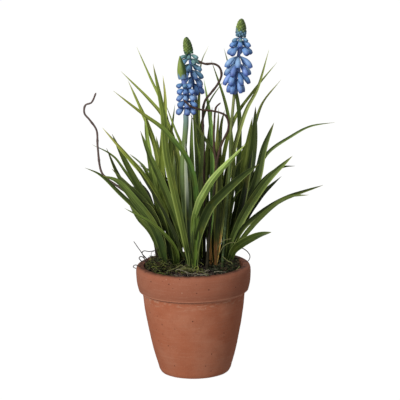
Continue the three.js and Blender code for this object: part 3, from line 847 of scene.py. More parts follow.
# ---------- Pot and soil ----------
@dataclass(frozen=True)
class Pot:
    """Turned clay pot with a collar, a rounded rim and a flat base.

    Its outlines hold radius and height. They start and end at the hub, round which the mesh is flat.
    """

    outside: Pairs = (
        (25, 0), (27.4, 0.7), (28.6, 3), (29.4, 6), (32.2, 16), (35.1, 29), (38.6, 49), (40.3, 64.3),
        (43.1, 66.2), (44.3, 71), (44.8, 75), (45, 81), (44.4, 84.6), (42.6, 86),
    )
    inside: Pairs = ((40, 86), (38.7, 85.1), (38.2, 82), (24.5, 6))
    collar_foot: float = 64.3
    base_edge: float = 0.7
    hub: float = 4
    sides: int = 240
    step: float = 1.3
    dent: float = 0.16
    dent_size: float = 11.0
    dent_hub: float = 8.0
    groove_size: float = 2.2

    def inside_radius(self, height: float) -> float:
        """Radius of the inside at a height, both in millimetres."""
        (lip, top), (floor, bottom) = self.inside[-2:]
        return floor + (lip - floor) * (height - bottom) / (top - bottom)

    def profile(self) -> Array:
        """Outline from the base's centre, up the outside and down to the floor's centre.

        Returns:
            Radius and height of each point, in millimetres.
        """
        body = [knot for knot in self.outside if self.base_edge <= knot[1] <= self.collar_foot]
        collar = [knot for knot in self.outside if knot[1] > self.collar_foot] + list(self.inside[:3])
        floor = self.inside[-1]
        runs = [
            self._run([(self.hub, 0), self.outside[0]]),
            self._run([self.outside[0], body[0]]),
            self._run(body, curved=True),
            self._run([body[-1], collar[0]]),
            self._run(collar, curved=True),
            self._run([collar[-1], floor]),
            self._run([floor, (self.hub, floor[1])]),
        ]
        return np.vstack(runs)

    def _run(self, knots: Sequence[Pair], curved: bool = False) -> Array:
        """Evenly spaced points along a stretch of the outline, without its last point.

        Args:
            knots: Radius and height of the points that the stretch runs through.
            curved: True for a smooth stretch, and False for a straight one.

        Returns:
            Radius and height of each point.
        """
        route = Route([(radius, 0, height) for radius, height in knots])
        count = max(2, round(route.length / MM / self.step)) if curved or route.length > 3 * MM else 2
        line = route.at(np.linspace(0, 1, count, endpoint=False)) / MM
        return line[:, [0, 2]]

    def build(self) -> Piece:
        """Turn the pot.

        Returns:
            The pot, in place of its plain solid.
        """
        angles = ring_angles(self.sides)
        rings = []
        for radius, height in self.profile():
            ring = np.stack([radius * np.cos(angles), radius * np.sin(angles),
                             np.full(self.sides, height)], -1)
            rings.append(ring * MM)
        rings = np.array(rings)
        for ring in rings:
            for point in ring:
                point[:2] *= 1 - self._dent(point)
        draft = Draft()
        draft.add_rings(rings)
        pot = draft.object("terracotta_pot", TerracottaFinish().make(), sharp=35)
        return dress(pot, "terracotta", "pot")

    def _dent(self, point: Array) -> float:
        """How far hand-turned clay falls short of its true radius at a point, as a share.

        Args:
            point: Point of the wall in metres.

        Returns:
            The share.
        """
        low = noise.noise(Vector(point) / (self.dent_size * MM))
        fine = noise.noise(Vector((point[0] * 0.4, point[1] * 0.4, point[2])) / (self.groove_size * MM))
        radius = max(np.hypot(point[0], point[1]), self.dent_hub * MM)
        return self.dent * MM * (1 + low * 0.7 + fine * 0.5) / radius


@dataclass(frozen=True)
class Soil:
    """Lumpy potting soil with loose crumbs and fine root fibres on it.

    Its body has some play in the pot up to its waist, and a slight overlap with the wall at its top.
    """

    pot: Pot
    top: float = 80
    waist: float = 45
    floor: float = 6
    play: float = 0.2
    overlap: float = 0.1
    moss_gap: float = 0.6
    sides: int = 120
    rings: int = 44
    swell: float = 0.6
    ripple: float = 0.4
    clod: float = 2.6
    grain: float = 1.1
    lump: float = 0.9
    crumbs: int = 1500
    crumb_seed: int = 11
    crumb_gap: float = 0.8
    crumb_size: Pair = (0.35, 1.15)
    small_share: float = 0.85
    large_gain: float = 1.5
    grit_share: float = 0.03
    fibres: int = 150
    fibre_seed: int = 23
    fibre_points: int = 6
    fibre_stride: Pair = (1.2, 3.0)
    fibre_radius: Pair = (0.12, 0.24)
    dark: Colour = paint(36, 30, 28)
    tones: tuple[Colour, ...] = (
        paint(34, 28, 25), paint(48, 40, 38), paint(62, 50, 50), paint(74, 58, 44), paint(30, 26, 24),
    )
    pale: Colour = paint(190, 180, 168)
    fibre_tones: tuple[Colour, ...] = (
        paint(120, 108, 108), paint(92, 76, 78), paint(150, 138, 122), paint(74, 62, 54),
    )

    def height(self, x: float, y: float) -> float:
        """Height of the soil's broad shape at a point, in millimetres."""
        broad = self.swell * math.sin(0.21 * x + 1.3) * math.cos(0.19 * y)
        return self.top + broad + self.ripple * math.sin(0.37 * x - 0.29 * y)

    def limit(self, gap: float) -> float:
        """How far from the pot's axis a piece may reach if it keeps a gap to the pot."""
        return self.pot.inside_radius(self.top) - gap

    def build(self) -> list[Piece]:
        """Build the soil, its crumbs and its fibres.

        Returns:
            The three pieces.
        """
        return [self._body(), self._crumbs(), self._fibres()]

    def _body(self) -> Piece:
        """Body of soil that fills the pot.

        Returns:
            The body, in place of its plain solid.
        """
        rim = self.pot.inside_radius(self.top) + self.overlap
        angles = ring_angles(self.sides)
        sunk = (
            (self.pot.hub, self.floor),
            (self.pot.inside_radius(self.floor) - self.play, self.floor),
            (self.pot.inside_radius(self.waist) - self.play, self.waist),
            (rim, self.top - 3),
        )
        rings = [[(radius * math.cos(a), radius * math.sin(a), height) for a in angles]
                 for radius, height in sunk]
        for share in np.linspace(1, 0.02, self.rings):
            ring = []
            for a in angles:
                x, y = rim * share * math.cos(a), rim * share * math.sin(a)
                lump = noise.noise((x / self.clod, y / self.clod, 3.0))
                lump += 0.5 * noise.noise((x / self.grain, y / self.grain, 8.0))
                ring.append((x, y, self.height(x, y) + self.lump * lump))
            rings.append(ring)
        draft = Draft()
        draft.add_rings(np.array(rings) * MM, tint=self.dark)
        return dress(draft.object("potting_soil", SoilFinish().make()), "soil", "soil")

    def _crumbs(self) -> Piece:
        """Loose crumbs, a few of them pale grit.

        Returns:
            The crumbs.
        """
        chance = random.Random(self.crumb_seed)
        draft = Draft()
        ball, faces = ball_shape()
        for _ in range(self.crumbs):
            radius = self.limit(self.crumb_gap) * math.sqrt(chance.random())
            angle = chance.uniform(0, math.tau)
            x, y = radius * math.cos(angle), radius * math.sin(angle)
            size = chance.uniform(*self.crumb_size)
            size *= 1.0 if chance.random() < self.small_share else self.large_gain
            roll = chance.uniform(0, math.pi)
            turn = Matrix.Rotation(roll, 3, Vector((chance.random(), chance.random(), 1)))
            stretch = np.array([chance.uniform(0.7, 1.3), chance.uniform(0.7, 1.2), 0.75])
            lumps = [noise.noise(Vector(point) * 1.7 + Vector((x, y, 0))) for point in ball]
            shape = ball * (1 + 0.28 * np.array(lumps))[:, None]
            centre = np.array([x, y, self.height(x, y) + 0.3 * size])
            tint = self.pale if chance.random() < self.grit_share else chance.choice(self.tones)
            draft.add(((shape * stretch * size) @ np.array(turn).T + centre) * MM, faces, tint=tint)
        return dress(draft.object("soil_crumbs", SoilFinish("soil_crumb").make(), sharp=40), "soil")

    def _fibres(self) -> Piece:
        """Fine root fibres that lie on the soil.

        Returns:
            The fibres.
        """
        chance = random.Random(self.fibre_seed)
        draft = Draft()
        rings, sides = 14, 4
        for index in range(self.fibres):
            angle = chance.uniform(0, math.tau)
            radius = chance.uniform(self.pot.hub, self.limit(3))
            x, y = radius * math.cos(angle), radius * math.sin(angle)
            heading = chance.uniform(0, math.tau)
            points = []
            for _ in range(self.fibre_points):
                rise = 0.5 + chance.uniform(0, 0.9)
                points.append((x, y, self.height(x, y) + rise))
                heading += chance.uniform(-0.7, 0.7)
                stride = chance.uniform(*self.fibre_stride)
                x, y = x + stride * math.cos(heading), y + stride * math.sin(heading)
                reach = math.hypot(x, y) / self.limit(1)
                if reach > 1:
                    x, y = x / reach, y / reach
                    heading += 2.0
            radii = np.linspace(1.0, 0.5, rings) * chance.uniform(*self.fibre_radius) * MM
            tube(draft, Route(points), radii, sides, chance.choice(self.fibre_tones), index)
        return dress(draft.object("soil_fibres", StrandFinish("root_fibre").make()), "soil")


def ball_shape() -> tuple[Array, list[tuple[int, ...]]]:
    """Points and faces of a ball with 42 corners and a radius of 1.

    Returns:
        Its points and its faces.
    """
    shape = bmesh.new()
    bmesh.ops.create_icosphere(shape, subdivisions=2, radius=1.0)
    points = np.array([vertex.co[:] for vertex in shape.verts])
    faces = [tuple(vertex.index for vertex in face.verts) for face in shape.faces]
    shape.free()
    return points, faces


# ---------- Moss and fibres ----------
# Size in millimetres of the moss's pale and dark cushions.
CUSHION = 4.5


class MossTone(Enum):
    """Colours that a strand of moss can have."""

    LIME = paint(116, 122, 62)
    OLIVE = paint(82, 88, 46)
    DEEP = paint(50, 60, 34)
    BROWN = paint(82, 68, 50)
    GREY = paint(112, 106, 92)
    BLACK = paint(44, 40, 34)


def patch(x: float, y: float) -> float:
    """How light the moss is at a place: it lies in pale and in dark cushions."""
    return 0.25 + 1.2 * float(soft_step(-0.35, 0.45, noise.noise((x / CUSHION, y / CUSHION, 6.0))))


@dataclass(frozen=True)
class Strand:
    """Curly strand of moss, with its lengths in millimetres and its turns in radians."""

    length: Pair = (5.0, 14.0)
    thickness: Pair = (0.5, 0.95)
    pitch: Pair = (0.2, 1.45)
    lowest_pitch: float = -0.5
    droop: Pair = (0.1, 0.6)
    curl: float = 1.2
    wander: float = 0.4
    turn_back: float = 1.8
    taper: float = 0.45
    light: Pair = (0.7, 1.3)
    steps: int = 5
    rings: int = 9
    sides: int = 4

    def add(self, draft: Draft, start: Array, chance: random.Random, tint: Array, seed: float,
            limit: float) -> None:
        """Add one strand.

        Args:
            draft: Mesh that gets it.
            start: Its foot, in millimetres.
            chance: Source of its random shape.
            tint: Its colour.
            seed: A number of its own, for the grain.
            limit: How far from the pot's axis it may reach, in millimetres.
        """
        heading, pitch = chance.uniform(0, math.tau), chance.uniform(*self.pitch)
        curl = chance.uniform(-self.curl, self.curl)
        stride = chance.uniform(*self.length) / self.steps
        point = np.array(start, float)
        points = [point]
        for _ in range(self.steps):
            step = bearing(heading) * math.cos(pitch)
            step[2] = math.sin(pitch)
            point = point + stride * step
            reach = math.hypot(point[0], point[1]) / limit
            if reach > 1:
                point = np.array([point[0] / reach, point[1] / reach, point[2]])
                heading += self.turn_back
            points.append(point)
            heading += curl + chance.uniform(-self.wander, self.wander)
            pitch = max(self.lowest_pitch, pitch - chance.uniform(*self.droop))
        radii = np.linspace(1.0, self.taper, self.rings) * chance.uniform(*self.thickness) / 2 * MM
        tube(draft, Route(points), radii, self.sides, tint, seed)


@dataclass(frozen=True)
class Moss:
    """A mound of curly moss: a lumpy core, painted near black as the shade among the strands, under many
    fine strands.
    """

    name: str
    node: str
    centre: Pair
    half: Pair
    rise: float
    tones: tuple[tuple[MossTone, float], ...]
    soil: Soil
    strands: int
    seed: int = 5
    sunk: float = 1.8
    core_sides: int = 40
    core_rings: int = 14

    def surface(self, x: float, y: float) -> float:
        """Height of the mound's top at a point, in millimetres.

        Args:
            x: Place from side to side.
            y: Place from front to back.

        Returns:
            The height.
        """
        across = (x - self.centre[0]) / self.half[0]
        along = (y - self.centre[1]) / self.half[1]
        dome = math.sqrt(max(0.0, 1 - across * across - along * along))
        lump = 1 + 0.22 * math.sin(0.55 * (x - self.centre[0]) + 1) * math.cos(0.4 * (y - self.centre[1]))
        return self.soil.top - 1 + (self.rise + 1) * dome * lump

    def build(self) -> Piece:
        """Grow the mound.

        Returns:
            The mound, in place of its plain solid.
        """
        draft = Draft()
        self._core(draft)
        chance = random.Random(self.seed)
        strand = Strand()
        palette = [tone.value for tone, _ in self.tones]
        weights = [weight for _, weight in self.tones]
        for index in range(self.strands):
            x, y = self._spot(chance)
            start = np.array([x, y, max(self.surface(x, y), self.soil.height(x, y)) - self.sunk])
            tone = np.array(chance.choices(palette, weights)[0])
            tint = tone * patch(x, y) * chance.uniform(*strand.light)
            strand.add(draft, start, chance, tint, index, self._limit())
        finish = StrandFinish(self.name + "_strands")
        return dress(draft.object(self.name, finish.make()), "moss", self.node)

    def _limit(self) -> float:
        """How far from the pot's axis a strand may reach, in millimetres."""
        return self.soil.limit(self.soil.moss_gap)

    def _spot(self, chance: random.Random) -> Pair:
        """A random point of the mound that lies inside the pot.

        Args:
            chance: Random numbers of the mound.

        Returns:
            Its place in millimetres.
        """
        while True:
            angle, reach = chance.uniform(0, math.tau), math.sqrt(chance.random())
            x = self.centre[0] + self.half[0] * reach * math.cos(angle)
            y = self.centre[1] + self.half[1] * reach * math.sin(angle)
            if math.hypot(x, y) < self._limit():
                return x, y

    def _core(self, draft: Draft) -> None:
        """Add the core under the strands, painted near black as shade.

        Args:
            draft: Mesh in the making.
        """
        rings = []
        for share in np.linspace(1, 0.04, self.core_rings):
            ring = []
            for angle in ring_angles(self.core_sides):
                x = self.centre[0] + self.half[0] * share * math.cos(angle)
                y = self.centre[1] + self.half[1] * share * math.sin(angle)
                reach = max(1.0, math.hypot(x, y) / self._limit())
                lump = 0.5 * noise.noise((x / 1.6, y / 1.6, 2.0))
                ring.append((x / reach, y / reach, self.surface(x, y) - self.sunk + lump))
            rings.append(ring)
        rings.insert(0, [(x, y, self.soil.top - 3) for x, y, _ in rings[0]])
        # Painted shade: the core takes the near-black moss tone.
        draft.add_rings(np.array(rings) * MM, tint=MossTone.BLACK.value)


@dataclass(frozen=True)
class LooseMoss:
    """Tufts of moss round the feet of the leaves, and thin runners along the front of the soil.

    Each clump gives its middle, its radius, the number of its strands and its usual tone.
    """

    soil: Soil
    seed: int = 31
    sunk: float = 0.3
    own_tone_share: float = 0.7
    other_tones: tuple[MossTone, ...] = (MossTone.DEEP, MossTone.BROWN, MossTone.GREY)
    clumps: tuple[tuple[float, float, float, int, MossTone], ...] = (
        (-21, -2, 5.5, 90, MossTone.LIME), (-25, -12, 5.0, 40, MossTone.OLIVE),
        (-13, 4, 5.5, 40, MossTone.OLIVE), (-6, -9, 6.0, 26, MossTone.LIME),
        (2, -5, 4.5, 26, MossTone.LIME), (-16, -20, 6.0, 10, MossTone.OLIVE),
        (16, 4, 5.5, 26, MossTone.DEEP), (27, 6, 6.0, 60, MossTone.DEEP),
        (8, -13, 5.0, 12, MossTone.GREY), (-10, 22, 6.0, 40, MossTone.DEEP),
        (6, 24, 6.0, 40, MossTone.DEEP), (20, 22, 6.0, 40, MossTone.OLIVE),
        (20, -8, 6.0, 40, MossTone.DEEP), (-33, -6, 4.0, 34, MossTone.BROWN),
    )

    def build(self) -> Piece:
        """Scatter the moss.

        Returns:
            The loose moss.
        """
        draft = Draft()
        chance = random.Random(self.seed)
        strand = Strand()
        limit = self.soil.limit(self.soil.moss_gap)
        for x, y, spread, count, tone in self.clumps:
            for index in range(count):
                angle, reach = chance.uniform(0, math.tau), spread * math.sqrt(chance.random())
                at_x, at_y = x + reach * math.cos(angle), y + reach * math.sin(angle)
                start = np.array([at_x, at_y, self.soil.height(at_x, at_y) - self.sunk])
                own = chance.random() < self.own_tone_share
                colour = (tone if own else chance.choice(self.other_tones)).value
                tint = np.array(colour) * patch(at_x, at_y) * chance.uniform(*strand.light)
                strand.add(draft, start, chance, tint, index, limit)
        return dress(draft.object("loose_moss", StrandFinish("loose_moss_strands").make()), "moss")


@dataclass(frozen=True)
class RimFibres:
    """Fine hairs that stand or curl out over the rim, each along its own listed run."""

    dark: Colour = paint(66, 60, 56)
    pale: Colour = paint(104, 106, 66)
    dry: Colour = paint(146, 140, 122)
    radius: float = 0.48
    dry_radius: float = 0.24
    taper: float = 0.7
    ring_step: float = 0.8
    least_rings: int = 12
    sides: int = 6
    dark_runs: tuple[Line, ...] = (
        ((-36, 3, 81), (-38, 2, 90), (-40, 1, 95), (-43, 0, 100), (-46, -1, 105)),
        ((-33, 6, 84), (-37, 5, 90), (-40, 4, 94), (-38.5, 3, 96.4), (-34, 3, 95.8), (-30, 3, 96.8),
         (-25.5, 4, 100)),
        ((-38, -5, 83), (-42, -6, 86.4), (-45.4, -6, 87.4), (-46.8, -6, 85.8), (-44.6, -6, 84.6)),
        ((-36, 8, 82), (-40, 8, 86), (-42.6, 7, 89.6), (-40.6, 7, 91), (-37.6, 8, 88)),
        ((34, 14, 96.6), (38, 13, 95.2), (42, 12, 93), (44.6, 11, 89.6), (44.4, 10, 86.6), (42, 9, 84)),
    )
    pale_runs: tuple[Line, ...] = (
        ((19, 4, 96), (21, 2, 101), (25, 0, 104.6), (30, 0, 105.6)),
        ((20, 4, 92), (24, 2, 99), (29, 1, 102), (34, 1, 102.4)),
        ((23, -2, 92), (27, -5, 89), (30, -7, 88), (30.6, -8, 84), (31, -8, 81)),
        ((-14, -14, 84), (-8, -16, 86.6), (-1, -17, 86), (6, -20, 84.6), (12, -23, 82)),
        ((-20, -10, 83), (-14, -14, 86), (-9, -13, 88), (-4, -15, 85), (-1, -13, 82)),
        ((31, -16, 82), (34, -14, 84.4), (36, -12, 86), (37, -10, 84)),
    )
    dry_runs: tuple[Line, ...] = (
        ((-6, -18, 84.4), (-2, -20, 83), (2, -21, 83.6), (6, -22, 82.4), (10, -22, 83.2), (14, -20, 82.4)),
        ((0, -26, 82), (4, -25, 83.6), (9, -26, 83.4), (12, -28, 82)),
        ((-13, -16, 85.6), (-10, -19, 86.2), (-6, -20, 84.6), (-4, -23, 83.4)),
        ((16, -14, 82.6), (20, -16, 83.4), (25, -15, 82.6)),
    )

    def build(self) -> Piece:
        """Lay the fibres.

        Returns:
            The fibres.
        """
        draft = Draft()
        families = (
            (self.dark_runs, self.dark, self.radius),
            (self.pale_runs, self.pale, self.radius),
            (self.dry_runs, self.dry, self.dry_radius),
        )
        for runs, tone, radius in families:
            for index, run in enumerate(runs):
                route = Route(run)
                count = max(self.least_rings, round(route.length / (self.ring_step * MM)))
                radii = np.linspace(1.0, self.taper, count) * radius * MM
                tube(draft, route, radii, self.sides, tone, index)
        return dress(draft.object("rim_fibres", StrandFinish("rim_fibre").make()), "twig")


# ---------- Leaves ----------
# Azimuth of the front in degrees, and height in millimetres at which the blades leave their crowns.
FACE = -90
LEAF_FOOT = 81.5


@dataclass(frozen=True)
class Tint:
    """Colours of a leaf at its root, along its blade, at its withered tip and, if any, of the painted
    shade on one half of it.
    """

    root: Colour
    blade: Colour
    tip: Colour
    rooted: float = 0.16
    withered: float = 0.93
    painted_shade_half: Colour | None = None


class LeafTint(Enum):
    """Kinds of leaf colour in the arrangement."""

    BRIGHT = Tint(paint(84, 108, 40), paint(158, 190, 104), paint(158, 176, 96), 0.52,
                  painted_shade_half=paint(122, 150, 68))
    LIGHT = Tint(paint(104, 122, 56), paint(122, 139, 64), paint(128, 138, 72))
    STRAW = Tint(paint(42, 54, 22), paint(118, 136, 56), paint(148, 152, 80), 0.4, 0.7)
    GRASS = Tint(paint(54, 74, 32), paint(98, 121, 55), paint(118, 124, 56), 0.45)
    OLIVE = Tint(paint(48, 62, 26), paint(93, 110, 47), paint(112, 113, 57))
    MID = Tint(paint(48, 64, 28), paint(82, 99, 44), paint(104, 104, 50))
    FERN = Tint(paint(42, 58, 26), paint(65, 79, 36), paint(88, 92, 46))
    DEEP = Tint(paint(34, 46, 18), paint(52, 65, 25), paint(78, 80, 40))
    DARK = Tint(paint(22, 28, 12), paint(40, 48, 20), paint(66, 66, 36))
    SHADOW = Tint(paint(16, 20, 10), paint(24, 28, 15), paint(32, 34, 20))
    # Painted highlight: a pale sheen on one half of the blade above its dark foot, with painted shade on
    # the other half.
    PAINTED_SHEEN = Tint(paint(24, 37, 14), paint(156, 172, 146), paint(136, 154, 118), 0.72,
                painted_shade_half=paint(44, 60, 26))
    TURNING = Tint(paint(92, 117, 47), paint(76, 109, 47), paint(128, 134, 60), 0.45, 0.5)
    RUSTY = Tint(paint(166, 118, 64), paint(122, 135, 65), paint(132, 142, 72), 0.2)
    RUSTY_GREEN = Tint(paint(166, 118, 64), paint(112, 152, 72), paint(120, 146, 76), 0.2, 0.6)
    RUSTY_DARK = Tint(paint(110, 80, 46), paint(58, 70, 29), paint(84, 88, 46), 0.2)


@dataclass(frozen=True)
class Leaf:
    """Blade that runs through given points, from the lowest up, in millimetres.

    Its channel faces the azimuth "face", in degrees. The lower part of a slender one is a thin stalk.
    """

    width: float
    face: float
    tint: LeafTint
    route: Line
    slender: bool = False

    def points(self, _root: Point) -> Line:
        """Points of the blade above its foot, in millimetres."""
        return self.route


@dataclass(frozen=True)
class Arch:
    """Blade that arches away from its root by rule, in millimetres and degrees.

    Its tip lies "reach" out from the root at its azimuth, and "height" above the leaves' feet.
    """

    width: float
    azimuth: float
    reach: float
    height: float
    tint: LeafTint
    slender: bool = False
    shares: Pairs = ((0.06, 0.26), (0.22, 0.6), (0.52, 0.88), (1, 1))

    @property
    def face(self) -> float:
        """Azimuth that the channel faces: back towards the root."""
        return self.azimuth + 180

    def points(self, root: Point) -> Line:
        """Points of the blade above its foot, in millimetres.

        Args:
            root: Middle of the tuft's crown.

        Returns:
            The points, from the foot up.
        """
        x, y, _ = self.reach * bearing(math.radians(self.azimuth))
        return tuple((root[0] + out * x, root[1] + out * y, LEAF_FOOT + self.height * up)
                     for out, up in self.shares)


@dataclass(frozen=True)
class Blade:
    """Cross-section of the leaves, and how they widen, in millimetres.

    The two widenings hold the width at the root as a share of the greatest, and the shares of the
    length between which the leaf widens. Half of the columns lie on either side of the keel.
    """

    fold: float = 0.42
    keel: float = 0.86
    edge: float = 0.2
    inner_share: float = 0.4
    spread: float = 1.05
    widening: Point = (0.6, 0.0, 0.4)
    slender_widening: Point = (0.3, 0.2, 0.5)
    taper: float = 0.85
    bluntest: float = 4.4
    least_half: float = 0.07
    slim_half: float = 0.9
    ring_step: float = 2.4
    least_rings: int = 14
    tip_crowding: float = 0.94
    columns: int = 6
    foot_offset: float = 1.6
    sunk: float = 3.4
    ripple: float = 0.22
    ripple_gain: Pair = (0.6, 1.4)
    ripple_length: float = 17.0
    tone: Pairs = ((0.94, 1.06), (0.95, 1.05), (0.9, 1.1))
    rooted: Pair = (0.92, 1.08)
    light: Pair = (0.94, 1.06)

    def add(self, draft: Draft, spec: Leaf | Arch, root: Point, seed: int) -> None:
        """Add one leaf.

        Args:
            draft: Mesh that gets it.
            spec: The leaf.
            root: Middle of its tuft.
            seed: A number of its own.
        """
        chance = random.Random(seed)
        phase, gain = chance.uniform(0, math.tau), chance.uniform(*self.ripple_gain)
        route = self._route(spec, root)
        rings = max(self.least_rings, round(route.length / MM / self.ring_step))
        shares = np.linspace(0, 1, rings) ** self.tip_crowding
        start = self.sunk * MM / route.length
        grown = np.clip((shares - start) / (1 - start), 0, 1)
        half = self._half_width(spec, grown)
        slim = np.minimum(1, half / (self.slim_half * MM))
        turns = shares * route.length / (self.ripple_length * MM)
        wave = self.ripple * gain * MM * np.sin(math.tau * turns + phase)

        centre, heading = route.at(shares), route.headings(shares)
        across = unit(np.cross(heading, bearing(math.radians(spec.face))))
        outward = np.cross(across, heading)
        ends = np.linspace(-1, 1, 2 * self.columns + 1)
        columns = [(a, True) for a in ends] + [(a, False) for a in ends[-2:0:-1]]
        rows, grain, share = [], [], []
        for a, inner in columns:
            thick = (self.edge + (self.keel - self.edge) * (1 - abs(a) ** 1.4)) * MM * slim
            rise = self.fold * half * abs(a) ** 1.25 + wave * a * abs(a) * slim
            rise = rise + thick * (self.inner_share if inner else self.inner_share - 1)
            rows.append(centre + across * (half * a)[:, None] + outward * rise[:, None])
            grain.append(np.stack([shares * route.length, half * a, np.full(rings, seed * 0.37)], -1))
            share.append(np.stack([grown, np.full(rings, a), np.full(rings, float(inner))], -1))
        tints = self._tint(spec.tint.value, grown, chance)[:, None, :]
        # Painted shade: one half of the blade takes the darker colour.
        if spec.tint.value.painted_shade_half:
            side = soft_step(-0.15, 0.25, np.array([a for a, _ in columns]))[None, :, None]
            tints = tints * (1 - side) + np.array(spec.tint.value.painted_shade_half) * side
        draft.add_rings(np.stack(rows, 1), tint=tints, grain=np.stack(grain, 1), share=np.stack(share, 1))

    def _route(self, spec: Leaf | Arch, root: Point) -> Route:
        """Middle line of a leaf, from below the top of its crown to its tip.

        Args:
            spec: The leaf.
            root: Middle of its tuft.

        Returns:
            The line.
        """
        points = spec.points(root)
        lean = np.array([points[0][0] - root[0], points[0][1] - root[1]], float)
        lean *= self.foot_offset / max(self.foot_offset, np.hypot(*lean))
        x, y = root[0] + lean[0], root[1] + lean[1]
        return Route([(x, y, LEAF_FOOT - self.sunk), (x, y, LEAF_FOOT), *points])

    def _half_width(self, spec: Leaf | Arch, grown: Array) -> Array:
        """Half of a leaf's width in metres, at shares of its length above its foot.

        Args:
            spec: Leaf or arch.
            grown: The shares.

        Returns:
            One width for each share.
        """
        blunt = np.maximum(1 - grown ** max(self.bluntest, self.taper * spec.width), 0) ** 0.9
        least, low, high = self.slender_widening if spec.slender else self.widening
        growth = least + (1 - least) * np.clip((grown - low) / (high - low), 0, 1)
        return np.maximum(self.spread * spec.width / 2 * MM * growth * blunt, self.least_half * MM)

    def _tint(self, tint: Tint, grown: Array, chance: random.Random) -> Array:
        """Colour of each ring of a leaf, with a slight shift of its own and painted light that grows
        towards its tip.

        Args:
            tint: Colours of the leaf.
            grown: Share of its length at each ring.
            chance: Random numbers of the tuft.

        Returns:
            One colour for each ring.
        """
        shift = np.array([chance.uniform(*span) for span in self.tone])
        rooted = tint.rooted * chance.uniform(*self.rooted)
        low = soft_step(0.6 * rooted, rooted, grown)[:, None]
        high = soft_step(tint.withered, 1.0, grown)[:, None]
        # Painted light: the blade grows lighter towards its tip, away from the shade deep in the tuft.
        gain = chance.uniform(*self.light) * (1 + 0.3 * soft_step(0.4, 0.9, grown))
        body = np.asarray(tint.root) * (1 - low) + np.asarray(tint.blade) * low
        return (body * (1 - high) + np.asarray(tint.tip) * high) * shift * gain[:, None]


@dataclass(frozen=True)
class Tuft:
    """Leaves that grow from one crown in the soil."""

    name: str
    root: Pair
    leaves: tuple[Leaf | Arch, ...]
    crown: float = 3.3
    crown_foot: float = 76.0
    crown_top: float = 83.4
    crown_rings: int = 8
    crown_sides: int = 20
    sheath: Colour = paint(96, 92, 54)

    def build(self, number: int, material: Material) -> Piece:
        """Grow the tuft.

        Args:
            number: Its number, from which the small differences of its leaves are drawn.
            material: Finish of the leaves.

        Returns:
            The tuft, in place of its plain solid.
        """
        draft = Draft()
        x, y = self.root
        heights = np.linspace(self.crown_foot, self.crown_top, self.crown_rings)
        axis = Route([(x, y, height) for height in heights])
        rounding = 1 - np.linspace(0.1, 0.98, self.crown_rings) ** 3
        radii = self.crown * np.sqrt(np.clip(rounding, 0, 1)) * MM
        tube(draft, axis, radii, self.crown_sides, self.sheath, number)
        for index, spec in enumerate(self.leaves):
            Blade().add(draft, spec, self.root, 100 * number + index)
        name = self.name.replace("leaves", "tuft")
        return dress(draft.object(name, material, sharp=70), "leaf", self.name)


